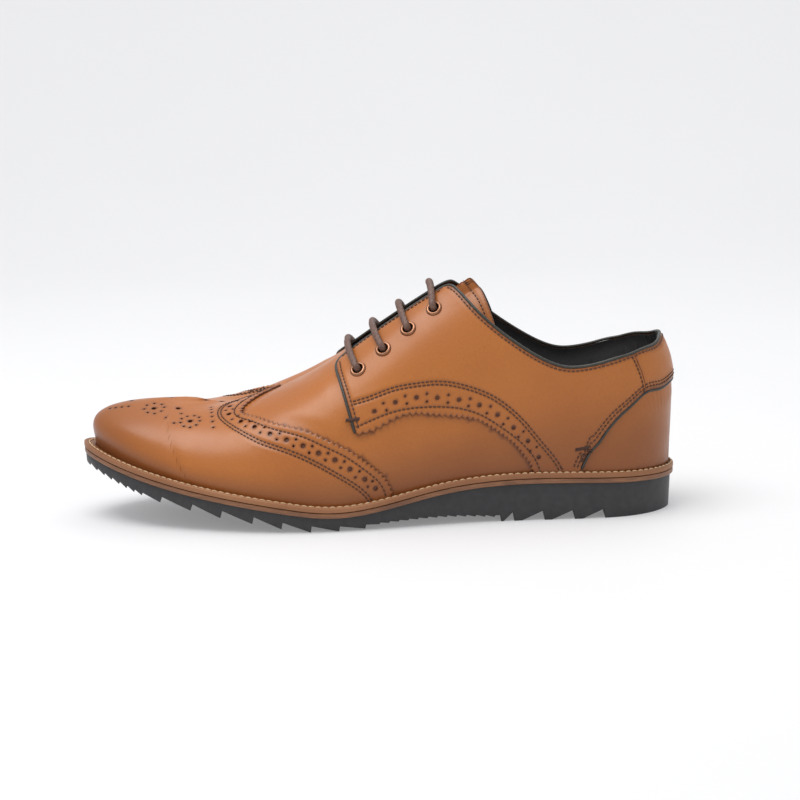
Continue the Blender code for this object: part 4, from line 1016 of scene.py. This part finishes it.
def tube(name, route, radius, material, sides=12, braid=0.0, strands=6, twist=2.1):
    """A round tube along points in millimetres, with the ridges of a braid if asked."""
    one, other = frames(route)
    length = np.concatenate([[0], np.cumsum(np.linalg.norm(np.diff(route, axis=0), axis=1))])
    turns = np.arange(sides) * 2 * pi / sides
    a, z = turns[None, :], length[:, None]
    ridge = np.maximum(np.sin(strands * a + z * twist), np.sin(strands * a - z * twist))
    reach = radius * (1 + braid * (ridge - 0.6))
    ends = np.clip(np.minimum(length, length[-1] - length) / radius, 0, 1)
    reach = reach * (0.55 + 0.45 * np.sqrt(1 - (1 - ends) ** 2))[:, None]
    points = route[:, None] + reach[..., None] * (np.cos(a)[..., None] * one[:, None] + np.sin(a)[..., None] * other[:, None])
    count = len(route)
    faces = [
        (i * sides + j, i * sides + (j + 1) % sides, (i + 1) * sides + (j + 1) % sides, (i + 1) * sides + j)
        for i in range(count - 1) for j in range(sides)
    ]
    faces += [tuple(range(sides))[::-1], tuple((count - 1) * sides + j for j in range(sides))]
    return mesh_piece(name, points.reshape(-1, 3), faces, material, 60)


def beside(runs, lift, distance, step=1.2):
    """A route over the last through runs of pattern points, moved to its left by a true distance."""
    route = np.vstack([traced(run, step)[:-1] for run in runs] + [flat([runs[-1][-1]])])
    places, higher = on_last(route, lift), on_last(route, lift + 5)
    way = np.gradient(places, axis=0)
    return along((places + unit(np.cross(higher - places, way)) * distance)[::3], step)


edge_runs = [FACING_FRONT, FACING_EDGE, FACING_TOP]
edge_runs += [TOPLINE + mirrored(TOPLINE)[1:]] + [mirrored(run) for run in reversed(edge_runs)]
worn_by(
    tube("topline_piping_roll", beside(edge_runs, 0.35, 0.72), 0.74, PIPING), "shoe", "black_piping", "topline_piping"
)
counter_run = COUNTER_SEAM[:-1][::-1] + COUNTER_BACK[1:]
counter_route = beside([counter_run + mirrored(counter_run)[1:]], 0.35, -0.75)
worn_by(tube("counter_piping_roll", counter_route, 0.66, PIPING), "shoe", "black_piping", "counter_piping")

# Eyelets and lace
EYELET_SECTION = [
    (2.3, -5.3), (2.3, 1.3), (2.42, 1.65), (2.75, 1.95), (3.2, 2.02), (3.7, 1.88), (4.05, 1.55), (4.18, 1.15),
    (4.1, 0.95), (2.65, 0.95), (2.65, -5.2), (3.3, -5.3), (3.45, -5.5), (3.2, -5.7), (2.5, -5.7),
]
TURNS = 48
for name, sign in (("lateral", -1), ("medial", 1)):
    for number, (x, t) in enumerate(EYELETS):
        centre = flat([(x, t * sign)])
        place_at, higher = on_last(centre, 0.0)[0], on_last(centre, 10.0)[0]
        normal = Vector(higher - place_at).normalized()
        turn = np.array(Vector((0, 0, 1)).rotation_difference(normal).to_matrix())
        angles = np.arange(TURNS) * 2 * pi / TURNS
        section = np.array(EYELET_SECTION)
        ring = np.stack([
            section[:, 0] * np.cos(angles)[:, None], section[:, 0] * np.sin(angles)[:, None],
            np.broadcast_to(section[:, 1], (TURNS, len(section))),
        ], -1)
        size = len(section)
        faces = [
            (i * size + j, (i + 1) % TURNS * size + j, (i + 1) % TURNS * size + (j + 1) % size, i * size + (j + 1) % size)
            for i in range(TURNS) for j in range(size)
        ]
        eyelet = mesh_piece(f"{name}_eyelet_ring_{number + 1}", ring.reshape(-1, 3) @ turn.T + place_at, faces, BRASS, 60)
        worn_by(eyelet, "shoe", "antique_brass", f"{name}_eyelet_{number + 1}")


def lace_bar(row, sign):
    x, t = EYELETS[row]
    return [(x - BAR_LEAN[row] * (1 - s * s), -sign * t * s, LACE_OUTSIDE) for s in np.linspace(-1, 1, 13)]


def inner_run(first, last, sign, bow=0.0):
    (x0, t0), (x1, t1) = EYELETS[first], EYELETS[last]
    share = np.linspace(0, 1, 3 * abs(last - first) + 1)
    return [(x0 + (x1 - x0) * s, sign * (t0 + (t1 - t0) * s + bow * sin(pi * s)), LACE_INSIDE) for s in share]


def through(row, sign, inwards):
    x, t = EYELETS[row]
    return [(x, t * sign, lift) for lift in (LACE_IN_HOLE if inwards else LACE_IN_HOLE[::-1])]


def lace_route(step):
    """The lace, as the CAD routes it: a bar across each row outside, and runs under the facings."""
    stations = [(x, t, LACE_INSIDE) for x, t in LACE_TAIL_FRONT] + [(*EYELETS[2], LACE_INSIDE)]
    stations = [(x, -abs(t), lift) for x, t, lift in stations]
    stations += through(2, -1, False) + lace_bar(2, -1) + through(2, 1, True)
    stations += inner_run(2, 0, 1, LACE_BYPASS) + through(0, 1, False) + lace_bar(0, 1) + through(0, -1, True)
    stations += inner_run(0, 1, -1) + through(1, -1, False) + lace_bar(1, -1) + through(1, 1, True)
    stations += inner_run(1, 3, 1, -0.75 * LACE_BYPASS) + through(3, 1, False) + lace_bar(3, 1) + through(3, -1, True)
    stations += [(EYELETS[3][0], -EYELETS[3][1], LACE_INSIDE)] + [(x, -t, LACE_INSIDE) for x, t in LACE_TAIL_BACK]
    places = on_last(flat([(x, t) for x, t, _ in stations]), np.array([lift for _, _, lift in stations]))
    return along(places, step)


LACE_STEP = 0.45
LACE_SHOWN = 1.72
tip_points = round(TIP_LENGTH / LACE_STEP)
lace = tube("lace_cord", lace_route(LACE_STEP)[tip_points:-tip_points], LACE_SHOWN, LACE, 24, 0.085)
worn_by(lace, "shoe", "waxed_lace", "lace")

# Bar tacks: short stitches side by side across the end of a seam
tack_names = []
for name, sign in (("lateral", -1), ("medial", 1)):
    for spot, (start, end) in (("facing", ((-13.4, -0.63), (-6.6, -0.65))), ("counter", ((97.0, -0.962), (105.8, -0.975)))):
        line = on_last(along(flat(on_side(sign, [start, end])), 0.25), OVER_TOP + 0.15)
        lifted = on_last(along(flat(on_side(sign, [start, end])), 0.25), OVER_TOP + 5)
        ups = unit(lifted - line)
        way = unit(np.gradient(line, axis=0))
        side = np.cross(ups, way)
        rows, normals = [], []
        for k in range(2, len(line) - 2, 2):
            lean = way[k] * 0.25
            rows.append(np.array([line[k] - side[k] * 1.0 - lean, line[k] + side[k] * 1.0 + lean]))
            normals.append(np.array([ups[k], ups[k]]))
        tack = stitch_piece(f"{name}_{spot}_tack", rows, THREAD, pitch=1.9, radius=0.3, fill=1.0, normals=normals)
        worn_by(tack, "shoe", "dark_thread", f"{name}_{spot}_bar_tack")


# The sole
def sole_stations(count):
    """Points round the feather outline, the way out from each, and the welt's overhang there."""
    loop = np.vstack([FEATHER_LOOP, FEATHER_LOOP[:1]])
    length = np.concatenate([[0], np.cumsum(np.linalg.norm(np.diff(loop, axis=0), axis=1))])
    at = np.linspace(0, length[-1], count, endpoint=False)
    points = np.column_stack([np.interp(at, length, loop[:, k]) for k in (0, 1)])
    way = unit(np.roll(points, -1, axis=0) - np.roll(points, 1, axis=0))
    return points, np.column_stack([way[:, 1], -way[:, 0]]), smooth(WELT_OVERHANG, points[:, 0])[..., 0]


def sole_outline(overhang=0.0, follow_welt=1.0, count=360):
    points, out, welt = sole_stations(count)
    return points + out * (welt * follow_welt + overhang)[:, None]


def sole_ring(name, section, material, count=720):
    """A ring round the sole. section is (share of the welt's overhang, millimetres past it, height) points."""
    points, out, welt = sole_stations(count)
    rings = []
    for share, extra, height in section:
        spot = points + out * (welt * share + extra)[:, None]
        rings.append(np.column_stack([spot, feather_z(spot[:, 0]) + height]))
    size = len(section)
    solid = np.stack(rings, axis=1).reshape(-1, 3)
    faces = [
        (i * size + j, i * size + (j + 1) % size, (i + 1) % count * size + (j + 1) % size, (i + 1) % count * size + j)
        for i in range(count) for j in range(size)
    ]
    return mesh_piece(name, solid, faces, material, 45)


bottom = -WELT_THICKNESS
welt_section = [
    (0, -1.6, bottom), (0, 1.2, bottom), (1, -0.35, bottom), (1, -0.08, bottom + 0.18), (1, 0.0, bottom + 0.6),
    (1, 0.0, -0.75), (1, -0.1, -0.3), (1, -0.45, -0.05), (1, -0.9, 0.0), (0.72, -0.35, -0.03), (0.72, 0.0, -0.28),
    (0.72, 0.35, -0.3), (0.42, 0.6, 0.0), (0, 1.9, 0.02), (0, 1.35, -0.12), (0, 1.25, -0.6), (0, -1.6, -1.9),
]
welt_section = [
    (0, -1.6, bottom), (1, -0.35, bottom), (1, -0.08, bottom + 0.18), (1, 0.0, bottom + 0.6),
    (1, 0.0, -0.75), (1, -0.1, -0.3), (1, -0.45, -0.05), (1, -0.95, 0.0), (0.62, 0.55, -0.02), (0.62, 0.3, -0.26),
    (0.62, -0.3, -0.26), (0.62, -0.55, -0.02), (0, 1.75, 0.02), (0, 1.35, -0.15), (0, 1.25, -0.7), (0, -1.6, -2.2),
][::-1]
worn_by(sole_ring("welt_strip", welt_section, WELT), "shoe", "welt_leather", "welt")
under_welt = -WELT_THICKNESS - LAYER_GAP
midsole_section = [
    (0, -12, under_welt), (1, -0.75, under_welt), (1, -0.3, under_welt - 0.2), (1, -0.2, under_welt - 0.6),
    (1, -0.2, under_welt - MIDSOLE_THICKNESS + 0.5), (1, -0.35, under_welt - MIDSOLE_THICKNESS + 0.12),
    (1, -0.7, under_welt - MIDSOLE_THICKNESS), (0, -12, under_welt - MIDSOLE_THICKNESS),
]
worn_by(sole_ring("midsole_edge", midsole_section, STACK), "shoe", "stacked_leather", "midsole")

stations, out, overhang = sole_stations(720)
row = stations + out * (overhang * 0.62)[:, None]
row = np.column_stack([row, feather_z(row[:, 0]) + 0.0])
row = np.vstack([row, row[:1]])
worn_by(
    stitch_piece(
        "welt_stitches", [row], WELT_THREAD, pitch=3.5, radius=0.5, fill=0.88,
        normals=[np.tile((0, 0, 1.0), (len(row), 1))],
    ),
    "shoe", "dark_thread",
)


def tread_profile():
    """The underside of the rubber, from the toe to the heel, with its teeth."""
    points = [(-160, 33.0)]
    for x, z in TREAD_FRONT:
        depth = float(np.interp(x, *np.array(TOOTH_DEPTH).T))
        points += [(x, z), (x + 0.5, z + depth)]
    for x in np.arange(0.0, HEEL_BREAST - 3, 4.8):
        z = float(smooth(TREAD_WAIST, x)[0])
        points += [(x, z), (x + 0.6, z + WAIST_TOOTH)]
    points += [(HEEL_BREAST - 0.6, 3.2), (HEEL_BREAST, 0.0)]
    for x in HEEL_NOTCHES:
        begin = max(x - HEEL_NOTCH_LENGTH, HEEL_BREAST + 1.2)
        points += [(begin, 0.0), (x - 0.2, HEEL_NOTCH_DEPTH), (x, 0.0)]
    return points + HEEL_BACK


def solid_between(name, lower, upper):
    """A closed mesh object between two loops with the same number of points."""
    count = len(lower)
    sides = [(k, (k + 1) % count, count + (k + 1) % count, count + k) for k in range(count)]
    faces = [tuple(range(count))[::-1], tuple(range(count, 2 * count))] + sides
    thing = mesh_piece(name, list(lower) + list(upper), faces, RUBBER)
    shape = bmesh.new()
    shape.from_mesh(thing.data)
    bmesh.ops.recalc_face_normals(shape, faces=shape.faces)
    shape.to_mesh(thing.data)
    shape.free()
    return thing


def build_outsole():
    depth = WELT_THICKNESS + MIDSOLE_THICKNESS + 2 * LAYER_GAP
    top_x = np.linspace(160, -160, 161)
    profile = tread_profile() + [(160, 8.0)] + list(zip(top_x, feather_z(top_x) - depth))
    slab = solid_between("outsole_rubber", [(x, -70, z) for x, z in profile], [(x, 70, z) for x, z in profile])
    lower, upper = sole_outline(-2.6), sole_outline(-0.3)
    cutter = solid_between("cutter", [(x, y, -0.5) for x, y in lower], [(x, y, 40) for x, y in upper])
    change = slab.modifiers.new("outline", "BOOLEAN")
    change.operation, change.object = "INTERSECT", cutter
    bevel = slab.modifiers.new("edges", "BEVEL")
    bevel.width, bevel.segments, bevel.limit_method, bevel.angle_limit = 0.35 * MM, 2, "ANGLE", radians(35)
    graph = bpy.context.evaluated_depsgraph_get()
    mesh = bpy.data.meshes.new_from_object(slab.evaluated_get(graph))
    slab.modifiers.clear()
    slab.data = mesh
    bpy.data.objects.remove(cutter)
    mesh.shade_smooth()
    mesh.set_sharp_from_angle(angle=radians(25))
    return slab


worn_by(build_outsole(), "shoe", "rubber", "outsole")


# The studio
def studio():
    profile = [(-3.0, 0.0), (0.9, 0.0)]
    profile += [(0.9 + 0.9 * sin(a), 0.9 - 0.9 * cos(a)) for a in np.linspace(0.1, pi / 2, 14)] + [(1.8, 3.5)]
    points = [(x, y, z) for y, z in profile for x in (-4.0, 4.0)]
    faces = [(2 * k, 2 * k + 1, 2 * k + 3, 2 * k + 2) for k in range(len(profile) - 1)]
    mesh = bpy.data.meshes.new("floor")
    mesh.from_pydata(points, [], faces)
    mesh.shade_smooth()
    floor = bpy.data.objects.new("floor", mesh)
    bpy.context.scene.collection.objects.link(floor)
    paper, tree, shader, where = blank("paper", 0.75)
    tone = ranged(tree, noise(tree, where, 3.0, 2.0), 0.3, 0.7)
    tree.links.new(mixed(tree, tone, (0.60, 0.60, 0.605), (0.585, 0.585, 0.59)), shader.inputs["Base Color"])
    shader.inputs["Emission Color"].default_value = (0.99, 0.99, 1.0, 1)
    shader.inputs["Emission Strength"].default_value = 0.22
    mesh.materials.append(paper)
    world = bpy.data.worlds.new("studio")
    bpy.context.scene.world = world
    world.use_nodes = True
    sky = world.node_tree.nodes["Background"]
    sky.inputs["Color"].default_value = (0.97, 0.98, 1.0, 1)
    sky.inputs["Strength"].default_value = 0.74
    for name, spot, size, power in (
        ("top", (-0.35, -0.2, 1.3), 0.9, 12.0), ("back", (0.4, 0.9, 1.6), 1.2, 5.0),
    ):
        lamp = bpy.data.lights.new(name, "AREA")
        lamp.energy, lamp.size = power, size
        light = bpy.data.objects.new(name, lamp)
        bpy.context.scene.collection.objects.link(light)
        light.location = spot
        light.rotation_mode = "QUATERNION"
        light.rotation_quaternion = (Vector((0, 0, 0.05)) - Vector(spot)).to_track_quat("-Z", "Y")
    bpy.context.scene.view_settings.view_transform = "Standard"


studio()
